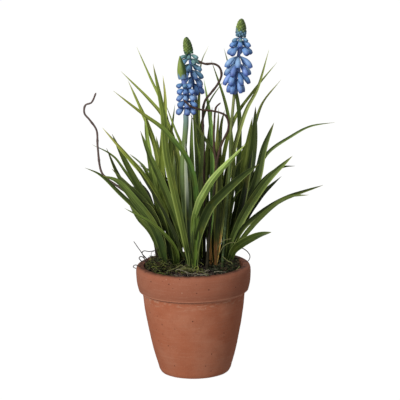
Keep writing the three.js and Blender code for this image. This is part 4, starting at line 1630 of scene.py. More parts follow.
TUFTS = (
    Tuft("leaves_front", (0, 0), (
        Leaf(3.4, FACE - 5, LeafTint.DEEP, ((2, -1, 105), (5, 0, 135), (8, 1, 165), (10, 2, 192))),
        Leaf(5.6, FACE - 10, LeafTint.BRIGHT,
             ((0, -3, 115), (4, -9, 133), (9.7, -16, 146), (18.8, -24, 161),
              (41, -36, 186)), slender=True),
        Leaf(6.6, FACE - 5, LeafTint.DEEP,
             ((3, -3, 103), (8, -6, 120), (15, -11, 135), (26, -19, 148), (39, -28, 161), (51, -36, 171))),
        Leaf(4.0, FACE + 5, LeafTint.TURNING,
             ((3, -4, 111), (3.4, -8, 139), (1.6, -13, 158), (-1.9, -14.6, 170), (-6.2, -16.4, 178.3),
              (-11, -17.6, 185), (-22, -21, 198), (-36.5, -24, 209.5), (-57, -28, 227))),
        Leaf(5.6, FACE - 10, LeafTint.OLIVE,
             ((-6, -3, 106), (-12, -5, 138), (-19, -7, 176), (-20.5, -9, 206), (-27.3, -12, 245))),
        Leaf(5.8, FACE + 15, LeafTint.MID,
             ((-6, -1, 101), (-20.6, -3, 145), (-32, -6, 174), (-38.4, -9, 193.5))),
        Leaf(2.6, FACE, LeafTint.DARK,
             ((-9, -2, 97), (-14, -3, 111), (-22, -3, 129), (-33, -4, 149), (-45, -4, 169))),
        Leaf(5.4, FACE, LeafTint.PAINTED_SHEEN, ((-1.8, -2, 98), (-2.6, -2, 120), (-3, -2, 150), (-4.4, -3, 186))),
        Leaf(4.2, FACE, LeafTint.MID, ((1, 1, 109), (1, 2, 148), (0.4, 3, 176), (1.2, 4, 205))),
        Leaf(3.4, FACE + 10, LeafTint.MID, ((5, 1, 105), (7, 3, 130), (7, 4, 160), (4, 4, 186))),
    )),
    Tuft("leaves_mid_left", (-13, 10), (
        Leaf(5.6, FACE + 10, LeafTint.FERN,
             ((-22, 10, 103), (-32, 10, 128), (-41, 9, 146), (-51, 8, 166), (-61, 7, 189))),
        Leaf(4.2, FACE + 20, LeafTint.STRAW,
             ((-17, 6, 108), (-24, 5, 132), (-37, 4, 156), (-48, 3, 170), (-68, 1, 195))),
        Leaf(2.8, FACE, LeafTint.OLIVE, ((-12, 4, 93), (-18, -1, 106), (-32, -6, 121), (-52, -12, 134))),
        Leaf(4.8, FACE - 5, LeafTint.STRAW,
             ((-18, 12, 107), (-22, 13, 134), (-23, 13, 167), (-19.3, 13, 210), (-20.6, 13, 233))),
        Leaf(5.2, FACE, LeafTint.DEEP, ((-14, 14, 104), (-18, 15, 130), (-22, 15, 154), (-24, 15, 181))),
        Leaf(4.8, FACE, LeafTint.FERN, ((-17, 11, 103), (-25, 11, 127), (-31, 11, 147), (-37, 11, 161))),
        Arch(4.6, 120, 14, 70, LeafTint.DARK),
        Arch(4.4, 95, 8, 92, LeafTint.MID),
        Arch(4.6, 160, 20, 84, LeafTint.DARK),
    )),
    Tuft("leaves_left", (-20, 4), (
        Leaf(6.2, FACE + 5, LeafTint.GRASS,
             ((-25, 2, 102), (-32, 1, 120), (-44, -3, 138), (-56, -8, 154), (-68, -13, 160))),
        Leaf(3.6, FACE + 10, LeafTint.FERN,
             ((-28, 5, 109), (-40, 4, 126), (-55, 2, 142), (-70, -1, 158), (-82, -5, 165))),
        Leaf(4.6, FACE, LeafTint.MID, ((-31, 7, 108), (-42, 7, 122), (-50, 7, 135))),
        Leaf(4.6, FACE + 15, LeafTint.FERN, ((-26, 6, 109), (-36, 6, 133), (-51, 5, 150), (-62, 5, 162))),
        Arch(4.4, 175, 22, 56, LeafTint.SHADOW),
    )),
    Tuft("leaves_left_back", (-24, 18), (
        Leaf(2.6, FACE, LeafTint.MID, ((-33, 17, 124), (-54, 15, 161), (-63, 14, 172), (-77, 12, 180))),
        Leaf(4.2, FACE + 10, LeafTint.DARK,
             ((-33, 15, 119), (-45, 14, 135), (-57, 14, 154), (-66, 13, 177))),
        Leaf(3.0, FACE, LeafTint.MID, ((-26, 14, 117), (-35, 13, 138), (-41, 12, 152))),
        Leaf(5.4, FACE - 10, LeafTint.LIGHT,
             ((-27, 18, 134), (-30, 18, 150), (-33, 17, 175), (-36, 17, 203))),
        Leaf(4.8, FACE - 20, LeafTint.LIGHT,
             ((-25, 20, 134), (-26, 20, 167), (-32, 20, 190), (-39, 19, 208), (-48, 18, 229))),
        Arch(4.6, 150, 30, 62, LeafTint.DARK),
        Arch(4.2, 128, 42, 84, LeafTint.MID),
        Arch(4.4, 170, 26, 70, LeafTint.DARK),
        Arch(4.6, 100, 22, 100, LeafTint.MID),
    )),
    Tuft("leaves_back_left", (-10, 25), (
        Leaf(3.8, FACE - 10, LeafTint.LIGHT,
             ((-10, 25, 125), (-10, 24, 165), (-19, 24, 195), (-31.5, 25, 212.4), (-53.8, 26, 235.4))),
        Leaf(3.2, FACE - 5, LeafTint.LIGHT,
             ((-14, 27, 145), (-17, 27, 186), (-22, 27, 209), (-31, 28, 230), (-41, 28, 254))),
        Leaf(3.8, FACE + 10, LeafTint.OLIVE, ((-17, 22, 136), (-17, 22, 173), (-12, 21, 209))),
        Arch(5.2, 112, 34, 118, LeafTint.DARK),
        Arch(4.8, 94, 26, 96, LeafTint.MID),
        Arch(4.6, 136, 46, 74, LeafTint.DARK),
        Arch(4.4, 75, 18, 70, LeafTint.OLIVE),
    )),
    Tuft("leaves_back", (6, 28), (
        Leaf(2.8, FACE, LeafTint.LIGHT,
             ((5, 30, 145), (6, 31, 185), (7, 31, 215), (9, 31, 239), (15, 31, 253))),
        Leaf(2.6, FACE + 10, LeafTint.MID,
             ((5, 28, 120), (5, 27, 166), (8, 27, 191), (15, 26, 210), (27, 26, 227))),
        Leaf(3.0, FACE - 10, LeafTint.LIGHT,
             ((1, 22, 115), (0, 19, 147), (-5, 17, 171), (-12, 16, 190), (-19, 16, 210))),
        Arch(5.2, 84, 38, 106, LeafTint.MID),
        Arch(4.8, 104, 24, 130, LeafTint.MID),
        Arch(4.6, 66, 44, 70, LeafTint.DARK),
        Arch(4.4, 90, 12, 84, LeafTint.LIGHT),
        Arch(4.6, 118, 36, 60, LeafTint.MID),
    )),
    Tuft("leaves_centre", (16, 10), (
        Leaf(4.4, FACE, LeafTint.RUSTY_GREEN,
             ((13, 9, 103), (16, 10, 135), (17, 12, 170), (15, 13, 201), (11, 13, 229))),
        Leaf(3.8, FACE + 10, LeafTint.RUSTY, ((18, 9, 107), (19, 8, 151), (20, 7, 179), (22, 6, 208))),
        Leaf(5.0, FACE - 5, LeafTint.OLIVE, ((13, 13, 98), (11, 15, 128), (12, 16, 160), (17, 17, 207))),
        Leaf(3.6, FACE - 10, LeafTint.RUSTY,
             ((21, 9, 101), (25, 10, 128), (30, 12, 158), (34.6, 13, 178), (43.2, 15, 203.6),
              (52.8, 16, 222), (61.6, 16, 251))),
        Leaf(3.6, FACE, LeafTint.RUSTY_DARK,
             ((20, 7, 120), (22, 5, 148), (19, 4, 171), (13, 4, 181), (0, 5, 203))),
        Arch(4.8, 80, 8, 84, LeafTint.DARK),
        Arch(4.6, 55, 9, 66, LeafTint.MID),
        Arch(4.2, 110, 6, 104, LeafTint.DARK),
    )),
    Tuft("leaves_right", (27, 14), (
        Leaf(6.4, FACE - 10, LeafTint.MID,
             ((29, 11, 95), (38, 9, 118), (49, 6, 137), (61, 1, 154), (78, -4, 171))),
        Leaf(5.0, FACE + 10, LeafTint.DEEP, ((31, 12, 97), (43, 10, 122), (56, 9, 140), (70, 8, 153))),
        Leaf(4.4, FACE, LeafTint.DARK,
             ((33, 14, 104), (45, 13, 133), (58, 13, 151), (70, 13, 159), (81, 13, 160))),
        Leaf(4.4, FACE + 15, LeafTint.DEEP,
             ((37, 8, 109), (53, 4, 125), (69, -1, 136), (82, -5, 142), (101, -11, 149))),
        Leaf(3.8, FACE, LeafTint.MID, ((37, 6, 102), (54.4, -1, 124), (72.6, -7, 139), (90, -13, 142))),
        Leaf(6.2, FACE - 15, LeafTint.FERN,
             ((32, 8, 94), (38, 2, 101), (46, -4, 107), (53, -9, 111), (61, -12, 113))),
        Leaf(5.4, FACE, LeafTint.SHADOW, ((34, 17, 107), (40, 16, 133), (44, 15, 153), (48, 14, 173))),
        Arch(4.6, 30, 15, 60, LeafTint.MID),
        Arch(4.4, 10, 14, 86, LeafTint.LIGHT),
    )),
    Tuft("leaves_right_back", (20, 24), (
        Leaf(3.0, FACE, LeafTint.MID,
             ((33, 23, 112), (40, 22, 132), (53, 20, 159), (62, 18, 172), (78, 16, 183), (93, 14, 191),
              (112, 12, 194))),
        Leaf(6.8, FACE, LeafTint.DEEP, ((34, 24, 118), (44, 23, 148), (49, 23, 175), (51, 23, 206))),
        Leaf(6.2, FACE, LeafTint.LIGHT, ((32, 26, 106), (38.6, 27, 139), (43, 27, 165), (48.6, 27, 197))),
        Leaf(6.8, FACE + 5, LeafTint.FERN,
             ((37, 20, 112), (47, 19, 136), (52, 19, 152), (57, 18, 174), (65, 17, 194))),
        Leaf(3.2, FACE, LeafTint.LIGHT,
             ((21, 27, 114), (25, 28, 163), (34, 27, 195), (50.2, 27, 218.4), (68.2, 26, 240))),
        Leaf(3.2, FACE + 10, LeafTint.STRAW,
             ((28, 29, 120), (39, 31, 163), (49, 31, 186), (56.6, 31, 207.4), (71.6, 32, 225.6))),
        Leaf(3.4, FACE, LeafTint.MID,
             ((29, 25, 118), (33, 24, 155), (31, 23, 187), (27, 22, 211), (17, 21, 243))),
        Leaf(3.8, FACE, LeafTint.FERN,
             ((34, 24, 120), (36, 23, 150), (38, 23, 180), (37, 23, 211), (27, 23, 252))),
        Arch(5.2, 58, 42, 88, LeafTint.DARK),
        Arch(4.8, 38, 38, 56, LeafTint.MID),
        Arch(4.6, 76, 30, 118, LeafTint.OLIVE),
        Arch(4.4, 20, 34, 70, LeafTint.MID),
        Arch(4.6, 95, 14, 96, LeafTint.DARK),
    )),
)


# ---------- Flower spikes ----------
@dataclass(frozen=True)
class Whorl:
    """Ring of hanging florets at one height of the stalk, in millimetres and degrees."""

    height: float
    count: int
    reach: float
    drop: float
    girth: float
    azimuth: float


@dataclass(frozen=True)
class FloretShape:
    """Lobed urn: slim foot, round belly, narrow throat and a small flared mouth, with painted shade at its
    foot and inside its mouth.
    """

    outline: Pairs = (
        (0, 0.22), (0.08, 0.27), (0.16, 0.36), (0.26, 0.5), (0.36, 0.66), (0.48, 0.82), (0.6, 0.94),
        (0.72, 1.0), (0.82, 0.97), (0.89, 0.88), (0.94, 0.78), (0.98, 0.68), (1.0, 0.58),
    )
    mouth: Pairs = ((0.985, 0.4), (0.94, 0.34), (0.9, 0.1))
    lobes: int = 6
    furrow: float = 0.055
    tooth: float = 0.1
    sides: int = 18
    root_share: float = 0.7
    knee: float = 0.62
    sag: float = 0.22
    painted_foot_shade: float = 0.7
    painted_inside_shade: float = 0.4

    def add(self, draft: Draft, foot: Array, azimuth: float, size: tuple[float, float, float],
            tones: tuple[Array, Array, Array], seed: float) -> None:
        """Add one floret.

        Args:
            draft: Mesh that gets it.
            foot: Where it leaves the stalk, in metres.
            azimuth: Direction that it leaves in, in radians.
            size: Reach, drop and girth in millimetres.
            tones: Colours of its foot, belly and mouth.
            seed: A number of its own.
        """
        reach, drop, girth = (number * MM for number in size)
        out = bearing(azimuth)
        side = np.array([-out[1], out[0], 0.0])
        down = np.array([0.0, 0.0, -drop])
        knee, mouth = foot + self.knee * reach * out + self.sag * down, foot + reach * out + down
        angles = ring_angles(self.sides)
        rings, tint, grain = [], [], []
        stations = [(share, radius, 0.0) for share, radius in self.outline]
        stations += [(share, radius, 1.0) for share, radius in self.mouth]
        for share, radius, inside in stations:
            centre = (1 - share) ** 2 * foot + 2 * share * (1 - share) * knee + share ** 2 * mouth
            heading = unit(2 * (1 - share) * (knee - foot) + 2 * share * (mouth - knee))
            up = np.cross(heading, side)
            wave = np.cos(self.lobes * angles)
            lobed = self.furrow * wave * math.sin(math.pi * min(1, share * 1.1)) ** 0.5
            spread = radius * girth * (1 + lobed)
            ring = centre + np.outer(spread * np.cos(angles), side) + np.outer(spread * np.sin(angles), up)
            teeth = self.tooth * MM * wave * soft_step(0.9, 1.0, share) * (1 - inside)
            rings.append(ring + np.outer(teeth, heading))
            # Painted shade: the foot, crowded against the stalk, and the inside of the mouth are darkened.
            tone = blend(tones[0] * self.painted_foot_shade, tones[1], soft_step(0.1, 0.55, [share]))[0]
            tone = blend(tone, tones[2], soft_step(0.72, 1.0, [share]))[0]
            tone = tone * (self.painted_inside_shade if inside else 1.0)
            tint.append(np.broadcast_to(tone, (self.sides, 3)))
            lengthwise = np.full(self.sides, share * (reach + drop))
            around = girth * np.abs(np.pi - angles)
            grain.append(np.stack([lengthwise, around, np.full(self.sides, seed)], -1))
        draft.add_rings(np.array(rings), tint=np.array(tint), grain=np.array(grain))


class FloretTone(Enum):
    """Colours of a floret's foot, belly and mouth."""

    PERIWINKLE = (paint(108, 146, 186), paint(120, 156, 206), paint(68, 90, 154))
    BLUE = (paint(88, 128, 170), paint(100, 142, 196), paint(56, 80, 142))
    VIOLET = (paint(98, 128, 182), paint(112, 142, 204), paint(64, 82, 150))
    TEAL = (paint(92, 134, 154), paint(105, 150, 182), paint(66, 100, 138))
    SEA = (paint(100, 138, 120), paint(106, 146, 140), paint(66, 102, 108))
    SKY = (paint(126, 166, 198), paint(138, 174, 214), paint(84, 116, 174))


@dataclass(frozen=True)
class Bud:
    """Closed tip of a spike: a smooth ribbed one, or a bumpy one of many small buds round a core painted
    dark as the shade between them.
    """

    foot: Point
    top: Point
    radius: float
    bumpy: bool
    # Colours of the tip's painted lit side and its painted shaded side.
    green: Colour
    shade: Colour
    base: Colour
    base_share: float = 0.16
    rings: int = 30
    sides: int = 30
    ribs: int = 5
    rib_depth: float = 0.05
    core_radius: float = 0.72
    core_length: float = 0.94
    core_painted_shade: float = 0.3
    buds: int = 72
    bud_size: Pair = (1.0, 1.25)
    bud_light: Pair = (0.65, 1.35)
    bud_shape: Point = (0.95, 0.95, 1.1)

    def add(self, draft: Draft, seed: int) -> None:
        """Add the tip.

        Args:
            draft: Mesh that gets it.
            seed: A number of its own.
        """
        axis = np.array(self.top) - np.array(self.foot)
        heading = unit(axis)
        right = unit(np.cross((0.0, 1.0, 0.0), heading))
        front = np.cross(right, heading)
        angles = ring_angles(self.sides)
        direction = np.outer(np.cos(angles), right) + np.outer(np.sin(angles), front)
        thick, tall, shade, rib = 1.0, 1.0, 1.0, self.rib_depth
        # A bumpy tip's core is painted dark: painted shade in the gaps between the buds.
        if self.bumpy:
            thick, tall, shade, rib = self.core_radius, self.core_length, self.core_painted_shade, 0.0
        rings, tint, grain = [], [], []
        for share in np.linspace(0.0, 1.0, self.rings):
            radius = max(0.05, thick * self.radius * self._profile(share))
            ridge = 1 + rib * np.cos(self.ribs * angles) * math.sin(math.pi * share)
            rings.append(np.array(self.foot) + axis * share * tall + direction * (radius * ridge)[:, None])
            tint.append([shade * self._tone(share, angle, seed) for angle in angles])
            lengthwise = np.full(self.sides, share * np.linalg.norm(axis))
            around = radius * np.abs(np.pi - angles)
            grain.append(np.stack([lengthwise, around, np.full(self.sides, seed * 9.0)], -1) * MM)
        draft.add_rings(np.array(rings) * MM, tint=np.array(tint), grain=np.array(grain))
        if self.bumpy:
            self._add_buds(draft, axis, right, front, seed)

    def _profile(self, share: float) -> float:
        """Radius at a share of the length, where 1 is the greatest.

        Args:
            share: Share of the length.

        Returns:
            The radius.
        """
        if self.bumpy:
            return (0.9 + 0.1 * min(1.0, 5 * share)) * (1 - share ** 2.8) ** 0.6
        return max(0.0, math.sin(math.pi * (0.2 + 0.8 * share) ** 0.8)) ** 0.8 * (1 - 0.15 * share)

    def _tone(self, share: float, angle: float, seed: float) -> Array:
        """Colour at a place of the tip: green with painted light on the left, painted shade on the right,
        and blue at its foot.

        Args:
            share: Share of the length.
            angle: Angle round the tip in radians.
            seed: Number from which its edge is drawn.

        Returns:
            The colour.
        """
        # Painted light on the left of the tip and painted shade on its right.
        painted_lit_side = soft_step(-0.9, 0.9, -math.cos(angle) + 0.15 * math.sin(3 * angle + seed))
        tone = np.asarray(self.shade) * (1 - painted_lit_side) + np.asarray(self.green) * painted_lit_side
        edge = self.base_share + 0.06 * math.sin(5 * angle + seed) + 0.04 * math.sin(9 * angle)
        blur = 0.07 if self.bumpy else 0.05
        based = 1 - soft_step(edge - blur, edge + blur, share)
        return tone * (1 - based) + np.asarray(self.base) * based

    def _add_buds(self, draft: Draft, axis: Array, right: Array, front: Array, seed: int) -> None:
        """Add the small buds that cover the tip, from its foot to its top.

        Args:
            draft: Mesh in the making.
            axis: The tip's axis, from its foot to its top.
            right: Direction to its right.
            front: Direction to its front.
            seed: Number from which their sizes are drawn.
        """
        chance = random.Random(seed)
        ball, faces = ball_shape()
        golden = math.pi * (3 - math.sqrt(5))
        for number in range(self.buds):
            share = 0.03 + 0.92 * (number + 0.5) / self.buds
            angle = number * golden
            radius = self.radius * self._profile(share)
            size = chance.uniform(*self.bud_size) * (0.75 + 0.35 * math.sin(math.pi * share))
            direction = math.cos(angle) * right + math.sin(angle) * front
            centre = np.array(self.foot) + axis * share * 0.93 + direction * max(0.0, radius - 0.7 * size)
            shape = ball * np.array(self.bud_shape) * size
            tone = self._tone(share, angle, seed) * chance.uniform(*self.bud_light)
            grain = np.column_stack([ball[:, 2], np.abs(ball[:, 0]), np.full(len(ball), number)]) * MM
            draft.add((centre + shape) * MM, faces, tint=tone, grain=grain)


@dataclass(frozen=True)
class Spike:
    """Flower spike: green stem, blue stalk with whorls of florets, and a closed tip.

    Its jitter is how far a floret may turn, in degrees, and stretch and swell, as shares.
    """

    name: str
    stem: Line
    stem_radius: float
    stem_tones: tuple[tuple[float, Colour], ...]
    stalk: Line
    stalk_radius: float
    stalk_tone: Colour
    whorls: tuple[Whorl, ...]
    tones: tuple[tuple[FloretTone, ...], ...]
    bud: Bud
    jitter: tuple[float, float, float] = (7.0, 0.06, 0.06)
    seed: int = 40
    sunk: float = 1.0
    light: Pair = (0.86, 1.14)
    gain: float = 1.16
    stem_step: float = 2.0
    stem_wobble: float = 0.05
    wobble_pitch: float = 0.12
    stem_sides: int = 18
    stalk_rings: int = 40
    stalk_sides: int = 20
    stem_finish: PetalFinish = PetalFinish("spike_stem", paint(150, 170, 110), paint(120, 150, 120),
                                           roughness=0.5, streak_share=0.25)
    floret_finish: PetalFinish = PetalFinish("floret", paint(160, 188, 226), paint(86, 104, 176))
    bud_finish: PetalFinish = PetalFinish("bud", paint(160, 170, 96), paint(64, 92, 52), roughness=0.55,
                                          streak_share=0.3)

    def build(self, number: int) -> list[Piece]:
        """Build the spike.

        Args:
            number: Its number, from which the small differences of its florets are drawn.

        Returns:
            Its stem, its stalk with the florets, and its tip.
        """
        return [self._stem(number), self._florets(number), self._tip(number)]

    def _stem(self, number: int) -> Piece:
        """Stem, coloured by height.

        Args:
            number: The spike's number.

        Returns:
            The stem, in place of its plain solid.
        """
        draft = Draft()
        route = Route(self.stem)
        count = round(route.length / (self.stem_step * MM))
        heights = route.at(np.linspace(0, 1, count))[:, 2] / MM
        levels = [level for level, _ in self.stem_tones]
        tint = np.stack([np.interp(heights, levels, [tone[channel] for _, tone in self.stem_tones])
                         for channel in range(3)], -1)
        wobble = np.array([noise.noise((number, self.wobble_pitch * height, 0.5)) for height in heights])
        radii = self.stem_radius * (1 + self.stem_wobble * wobble) * MM
        tube(draft, route, radii, self.stem_sides, tint, number * 3.1)
        stem = draft.object("spike_stem_" + self.name, self.stem_finish.make(self.name), sharp=80)
        return dress(stem, "stem", "stem_" + self.name)

    def _florets(self, number: int) -> Piece:
        """Stalk with its whorls.

        Args:
            number: The spike's number.

        Returns:
            The stalk and its florets, in place of their plain solid.
        """
        draft = Draft()
        chance = random.Random(self.seed + number)
        above = np.array(self.stalk[-1]) + unit(np.subtract(self.stalk[-1], self.stalk[-2])) * self.sunk
        below = np.array(self.stalk[0]) + unit(np.subtract(self.stalk[0], self.stalk[1])) * self.sunk
        route = Route([below, *self.stalk, above])
        radii = np.full(self.stalk_rings, self.stalk_radius * MM)
        tube(draft, route, radii, self.stalk_sides, self.stalk_tone, number * 1.7)
        shape = FloretShape()
        turn, stretch, swell = self.jitter
        for level, (whorl, tones) in enumerate(zip(self.whorls, self.tones)):
            centre = route.at_height(whorl.height * MM)
            for index in range(whorl.count):
                azimuth = whorl.azimuth + 360 * index / whorl.count + chance.uniform(-turn, turn)
                azimuth = math.radians(azimuth)
                size = (whorl.reach * (1 + chance.uniform(-stretch, stretch)),
                        whorl.drop * (1 + chance.uniform(-stretch, stretch)),
                        whorl.girth * (1 + chance.uniform(-swell, swell)))
                foot = centre + bearing(azimuth) * shape.root_share * self.stalk_radius * MM
                first, second = chance.choice(tones).value, chance.choice(tones).value
                share = chance.random()
                gain = self.gain * chance.uniform(*self.light)
                mixed = tuple((np.asarray(a) * (1 - share) + np.asarray(b) * share) * gain
                              for a, b in zip(first, second))
                shape.add(draft, foot, azimuth, size, mixed, 10 * level + index)
        finish = self.floret_finish.make(self.name)
        florets = draft.object("spike_florets_" + self.name, finish, sharp=75)
        return dress(florets, "floret", "florets_" + self.name)

    def _tip(self, number: int) -> Piece:
        """Closed tip.

        Args:
            number: The spike's number.

        Returns:
            The tip, in place of its plain solid.
        """
        draft = Draft()
        self.bud.add(draft, number)
        tip = draft.object("spike_tip_" + self.name, self.bud_finish.make(self.name), sharp=75)
        return dress(tip, "bud", "tip_" + self.name)


STEM_GREEN = paint(92, 108, 52)
STEM_DEEP = paint(52, 66, 30)
STEM_OLIVE = paint(124, 132, 80)
STEM_LEAFY = paint(122, 144, 88)
STEM_BLUE = paint(114, 138, 124)
STEM_MIST = paint(128, 156, 164)

SPIKES = (
    Spike(
        name="right", stem_radius=1.15,
        stem=((23, 4, 70.3), (23, 4, 84), (25, 5, 110), (28, 6, 140), (30, 7, 165), (31, 8, 188),
              (32.6, 9, 204), (34.2, 10, 218.4)),
        stem_tones=((80, STEM_DEEP), (120, STEM_DEEP), (170, STEM_GREEN), (200, STEM_OLIVE),
                    (218, STEM_OLIVE)),
        stalk=((34.3, 10, 218.8), (36.2, 10, 236), (38.3, 10, 250), (39.5, 10, 261.4)), stalk_radius=1.4,
        stalk_tone=paint(112, 134, 192),
        whorls=(
            Whorl(229.4, 5, 5, 11, 2.1, 18), Whorl(235.2, 6, 8.4, 10, 2.15, 0),
            Whorl(241, 5, 8.8, 9, 2.1, 22), Whorl(246.8, 5, 9.2, 8.2, 2.1, 50),
            Whorl(254.2, 5, 8.6, 6, 2.3, 18), Whorl(258.8, 5, 6.8, 4.6, 1.9, 54),
            Whorl(260.8, 6, 5.4, 2.4, 1.4, 30),
        ),
        tones=(
            (FloretTone.BLUE, FloretTone.VIOLET, FloretTone.PERIWINKLE),
            (FloretTone.BLUE, FloretTone.PERIWINKLE, FloretTone.VIOLET),
            (FloretTone.PERIWINKLE, FloretTone.SKY, FloretTone.VIOLET),
            (FloretTone.PERIWINKLE, FloretTone.SKY), (FloretTone.PERIWINKLE, FloretTone.BLUE),
            (FloretTone.TEAL, FloretTone.BLUE), (FloretTone.SEA, FloretTone.TEAL),
        ),
        bud=Bud((39.8, 10, 261.8), (40.5, 10, 276.8), radius=4.2, bumpy=True, green=paint(120, 140, 70),
                shade=paint(78, 96, 50), base=paint(88, 122, 146), base_share=0.36),
    ),
    Spike(
        name="back", stem_radius=1.15,
        stem=((4, 18, 70.3), (4, 18, 84), (3, 19, 118), (4, 20, 158), (5, 20, 183), (5, 20, 203),
              (4.5, 20, 213.6)),
        stem_tones=((80, STEM_DEEP), (150, STEM_DEEP), (190, STEM_GREEN), (205, STEM_GREEN),
                    (213, STEM_BLUE)),
        stalk=((4.4, 20, 214), (2.9, 20, 224), (1.3, 20, 235), (0.2, 20, 248)), stalk_radius=1.2,
        stalk_tone=paint(96, 120, 176),
        whorls=(
            Whorl(225, 5, 6.8, 8.2, 2, 0), Whorl(230.4, 5, 7.6, 7.6, 2, 36),
            Whorl(235.6, 5, 7.8, 6.4, 1.9, 12), Whorl(240.4, 5, 7.6, 5.2, 1.85, 48),
            Whorl(244.6, 5, 7.4, 4, 1.7, 10), Whorl(247.6, 5, 6.6, 2.6, 1.5, 44),
        ),
        tones=(
            (FloretTone.BLUE, FloretTone.VIOLET), (FloretTone.BLUE, FloretTone.PERIWINKLE),
            (FloretTone.PERIWINKLE, FloretTone.TEAL), (FloretTone.TEAL, FloretTone.SEA),
            (FloretTone.SEA, FloretTone.TEAL), (FloretTone.SEA,),
        ),
        bud=Bud((-0.2, 20, 248.4), (-2.6, 20, 262.4), radius=3.7, bumpy=True, green=paint(114, 136, 66),
                shade=paint(66, 88, 46), base=paint(84, 120, 92)),
    ),
    Spike(
        name="front", gain=1.03, stem_radius=2.1,
        stem=((-4, 7, 70.3), (-4, 7, 84), (-5, 5, 105), (-6, 5, 130), (-7, 4, 150), (-6.6, 3, 167),
              (-5, 2, 182), (-3.6, 1, 196), (-3.4, 0.5, 204)),
        stem_tones=((80, STEM_DEEP), (104, STEM_DEEP), (122, STEM_LEAFY), (188, STEM_LEAFY),
                    (197, STEM_BLUE), (204, STEM_MIST)),
        stalk=((-3.4, 0.5, 204.4), (-2.6, 0, 213), (-2.9, 0, 222), (-4.9, 0, 230.6)), stalk_radius=1.6,
        stalk_tone=paint(104, 124, 184),
        whorls=(
            Whorl(209.4, 6, 6.6, 5, 2.1, 30), Whorl(214.4, 6, 6.4, 4.6, 2.1, 36),
            Whorl(219.2, 6, 6.2, 4, 2, 26), Whorl(223.6, 6, 5.8, 3.4, 1.9, 34),
            Whorl(227.6, 6, 5.2, 2.6, 1.65, 28),
        ),
        tones=(
            (FloretTone.PERIWINKLE, FloretTone.VIOLET), (FloretTone.PERIWINKLE, FloretTone.BLUE),
            (FloretTone.PERIWINKLE, FloretTone.SKY), (FloretTone.BLUE, FloretTone.PERIWINKLE),
            (FloretTone.TEAL, FloretTone.BLUE),
        ),
        bud=Bud((-5.5, 0, 231.5), (-7.2, 0, 249.3), radius=3.7, bumpy=False, green=paint(126, 146, 62),
                shade=paint(62, 88, 46), base=paint(112, 146, 186)),
    ),
)


# ---------- Twigs ----------
@dataclass(frozen=True)
class Twig:
    """Curly bare twig, with side shoots where it has more than one run, and painted shade on its lower
    part among the leaves.
    """

    name: str
    radius: Pair
    runs: tuple[Line, ...]
    tone: Colour = paint(76, 60, 52)
    # Dark green of the painted shade low on the twig, and the heights over which it gives way to the
    # twig's tone.
    shaded: Colour = paint(46, 44, 28)
    painted_shade_below: Pair = (100.0, 120.0)
    node_gap: float = 15.0
    node_spread: float = 1.6
    node_swell: float = 0.24
    roughness: float = 0.1
    end_length: float = 0.9
    sides: int = 12
    step: float = 1.5

    def build(self, number: int, material: Material) -> Piece:
        """Build the twig.

        Args:
            number: Its number, from which its knots are drawn.
            material: Its bark.

        Returns:
            The twig, in place of its plain solid.
        """
        draft = Draft()
        thick, thin = self.radius
        for index, run in enumerate(self.runs):
            route = Route(run)
            count = round(route.length / MM / self.step)
            shares = np.linspace(0, 1, count)
            base = thick if index == 0 else (thick + thin) / 2
            radii = base + (thin - base) * shares
            lengths = shares * route.length / MM
            offsets = (lengths + 4 * number) % self.node_gap - self.node_gap / 2
            knots = np.exp(-offsets ** 2 / self.node_spread)
            rough = np.array([noise.noise((number, index, 0.35 * length)) for length in lengths])
            radii = radii * (1 + self.node_swell * knots + self.roughness * rough)
            ends = np.minimum(1, (1.001 - shares) * route.length / MM / self.end_length) ** 0.5
            heights = route.at(shares)[:, 2] / MM
            # Painted shade: the twig is dark green low down among the leaves.
            tint = blend(self.shaded, self.tone, soft_step(*self.painted_shade_below, heights))
            tube(draft, route, radii * ends * MM, self.sides, tint, number + 0.3 * index)
        return dress(draft.object(self.name + "_bark", material, sharp=75), "twig", self.name)


TWIGS = (
    Twig("twig_left", (1.1, 0.7), (
        ((-28, 11, 70.3), (-28, 11, 84), (-31, 11, 105), (-38, 11, 121), (-51, 11, 141),
         (-65, 11, 152), (-70.8, 11, 160), (-72.6, 11, 178), (-73, 11, 191), (-78, 10, 199.6),
         (-82, 10, 205), (-81, 9, 211.4), (-76, 9, 213.6), (-72.4, 8, 221)),
    ), paint(104, 88, 84)),
    Twig("twig_centre", (1.3, 0.8), (
        ((9, 13, 70.3), (9, 13, 84), (9, 11, 125), (10, 9, 167), (9.5, 8, 199), (11, 8, 212), (16, 8, 219),
         (21.5, 8, 226), (24.5, 8, 233), (23, 8, 239), (18.5, 8, 241.8), (12, 8, 241.8), (6.6, 8, 244.2)),
    )),
    Twig("twig_loop", (1.4, 0.65), (
        ((11, 3, 70.3), (11, 3, 84), (13, 1, 112), (17, 0, 142), (19.5, 0, 164), (22.1, 0, 176),
         (25.2, 0, 184), (28.4, -0.6, 190.4), (29.2, -1.4, 197), (27.4, -2.4, 202.6), (23.3, -3, 205.2),
         (17, -4, 207), (8, -6, 208.5), (0, -9, 212), (-5, -9.5, 217)),
        ((19.5, 0, 164), (17.9, 0.4, 176), (17.8, 0.6, 188.3), (18.4, 0.8, 198.3), (19, 1, 205.6),
         (20.2, 1, 209.6), (23.6, 1, 212.6)),
    ), paint(78, 60, 50), painted_shade_below=(150.0, 176.0)),
)


# ---------- Studio ----------
@dataclass(frozen=True)
class Lamp:
    """Square area lamp that points at the plant."""

    name: str
    place: Point
    size: float
    power: float
    tone: Colour = (1.0, 1.0, 1.0)

    def build(self, target: Vector) -> None:
        """Hang the lamp so that it shines on a target.

        Args:
            target: The target, in metres.
        """
        data = bpy.data.lights.new(self.name, "AREA")
        data.size, data.energy, data.color = self.size, self.power, self.tone
        lamp = bpy.data.objects.new(self.name, data)
        lamp.location = self.place
        lamp.rotation_euler = (target - Vector(self.place)).to_track_quat("-Z", "Y").to_euler()
        bpy.context.scene.collection.objects.link(lamp)


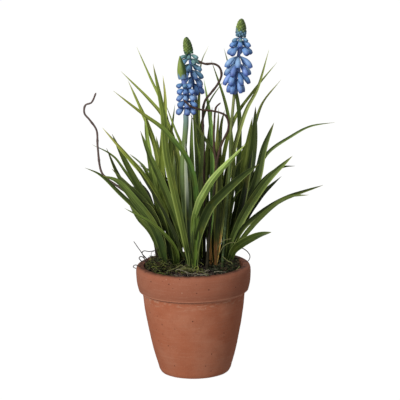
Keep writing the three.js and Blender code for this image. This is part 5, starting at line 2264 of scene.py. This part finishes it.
@dataclass(frozen=True)
class Studio:
    """White board, pale surroundings, lamps and the camera."""

    board: float = 16.0
    board_drop: float = 0.1 * MM
    surround: Colour = (1.0, 1.0, 1.0)
    surround_strength: float = 0.3
    lamps: tuple[Lamp, ...] = (
        Lamp("key_lamp", (-0.68, -1.04, 0.84), size=0.6, power=18.0, tone=(1.0, 0.98, 0.95)),
        Lamp("back_lamp", (0.5, 1.1, 1.0), size=0.8, power=4.0),
    )
    camera_place: Point = (0.0062, -1.1644, 0.3753)
    camera_pitch: float = 11.572
    camera_roll: float = 1.06
    camera_clip: float = 0.05
    lens: float = 137.79
    target: Point = (0.0, 0.0, 0.12)

    def build(self) -> None:
        """Set the whole studio up."""
        self._floor()
        self._world()
        for lamp in self.lamps:
            lamp.build(Vector(self.target))
        self._camera()
        bpy.context.scene.view_settings.view_transform = "Standard"

    def _floor(self) -> None:
        """Board that the pot stands on."""
        half = self.board / 2
        corners = [(-half, -half, 0), (half, -half, 0), (half, half, 0), (-half, half, 0)]
        mesh = bpy.data.meshes.new("studio_board")
        mesh.from_pydata(corners, [], [(0, 1, 2, 3)])
        mesh.materials.append(FloorFinish().make())
        board = bpy.data.objects.new("studio_board", mesh)
        board.location.z = -self.board_drop
        board.visible_diffuse = board.visible_glossy = False
        bpy.context.scene.collection.objects.link(board)

    def _world(self) -> None:
        """Even pale light from all around."""
        world = bpy.data.worlds.new("studio_world")
        world.use_nodes = True
        surface = world.node_tree.nodes["Background"]
        surface.inputs["Color"].default_value = (*self.surround, 1.0)
        surface.inputs["Strength"].default_value = self.surround_strength
        bpy.context.scene.world = world

    def _camera(self) -> None:
        """Camera a little above the plant, looking slightly down."""
        data = bpy.data.cameras.new("studio_camera")
        data.lens = self.lens
        data.clip_start = self.camera_clip
        camera = bpy.data.objects.new("studio_camera", data)
        aim = Matrix.Rotation(math.radians(90 - self.camera_pitch), 4, "X")
        aim = aim @ Matrix.Rotation(math.radians(-self.camera_roll), 4, "Z")
        camera.matrix_world = Matrix.Translation(self.camera_place) @ aim
        bpy.context.scene.collection.objects.link(camera)
        bpy.context.scene.camera = camera


def main() -> None:
    """Build the arrangement and the studio round it."""
    logging.basicConfig(level=logging.INFO, format="%(message)s")
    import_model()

    pot = Pot()
    soil = Soil(pot)
    pot.build()
    soil.build()
    left_tones = ((MossTone.LIME, 4), (MossTone.OLIVE, 4), (MossTone.DEEP, 2), (MossTone.BROWN, 2),
                  (MossTone.GREY, 1))
    right_tones = ((MossTone.DEEP, 4), (MossTone.BROWN, 3), (MossTone.OLIVE, 2), (MossTone.BLACK, 3))
    mounds = (
        Moss("moss_mound_left", "moss_left", centre=(-28, 10), half=(9, 21), rise=7.2, tones=left_tones,
             soil=soil, strands=560),
        Moss("moss_mound_right", "moss_right", centre=(31, 5), half=(6.5, 21), rise=3.2, tones=right_tones,
             soil=soil, strands=340, seed=7),
    )
    for mound in mounds:
        mound.build()
    LooseMoss(soil).build()
    RimFibres().build()

    blade_finish = BladeFinish().make()
    for number, tuft in enumerate(TUFTS):
        tuft.build(number, blade_finish)
    for number, spike in enumerate(SPIKES):
        spike.build(number)
    bark = BarkFinish().make()
    for number, twig in enumerate(TWIGS):
        twig.build(number, bark)

    Studio().build()


if __name__ == "__main__":
    main()
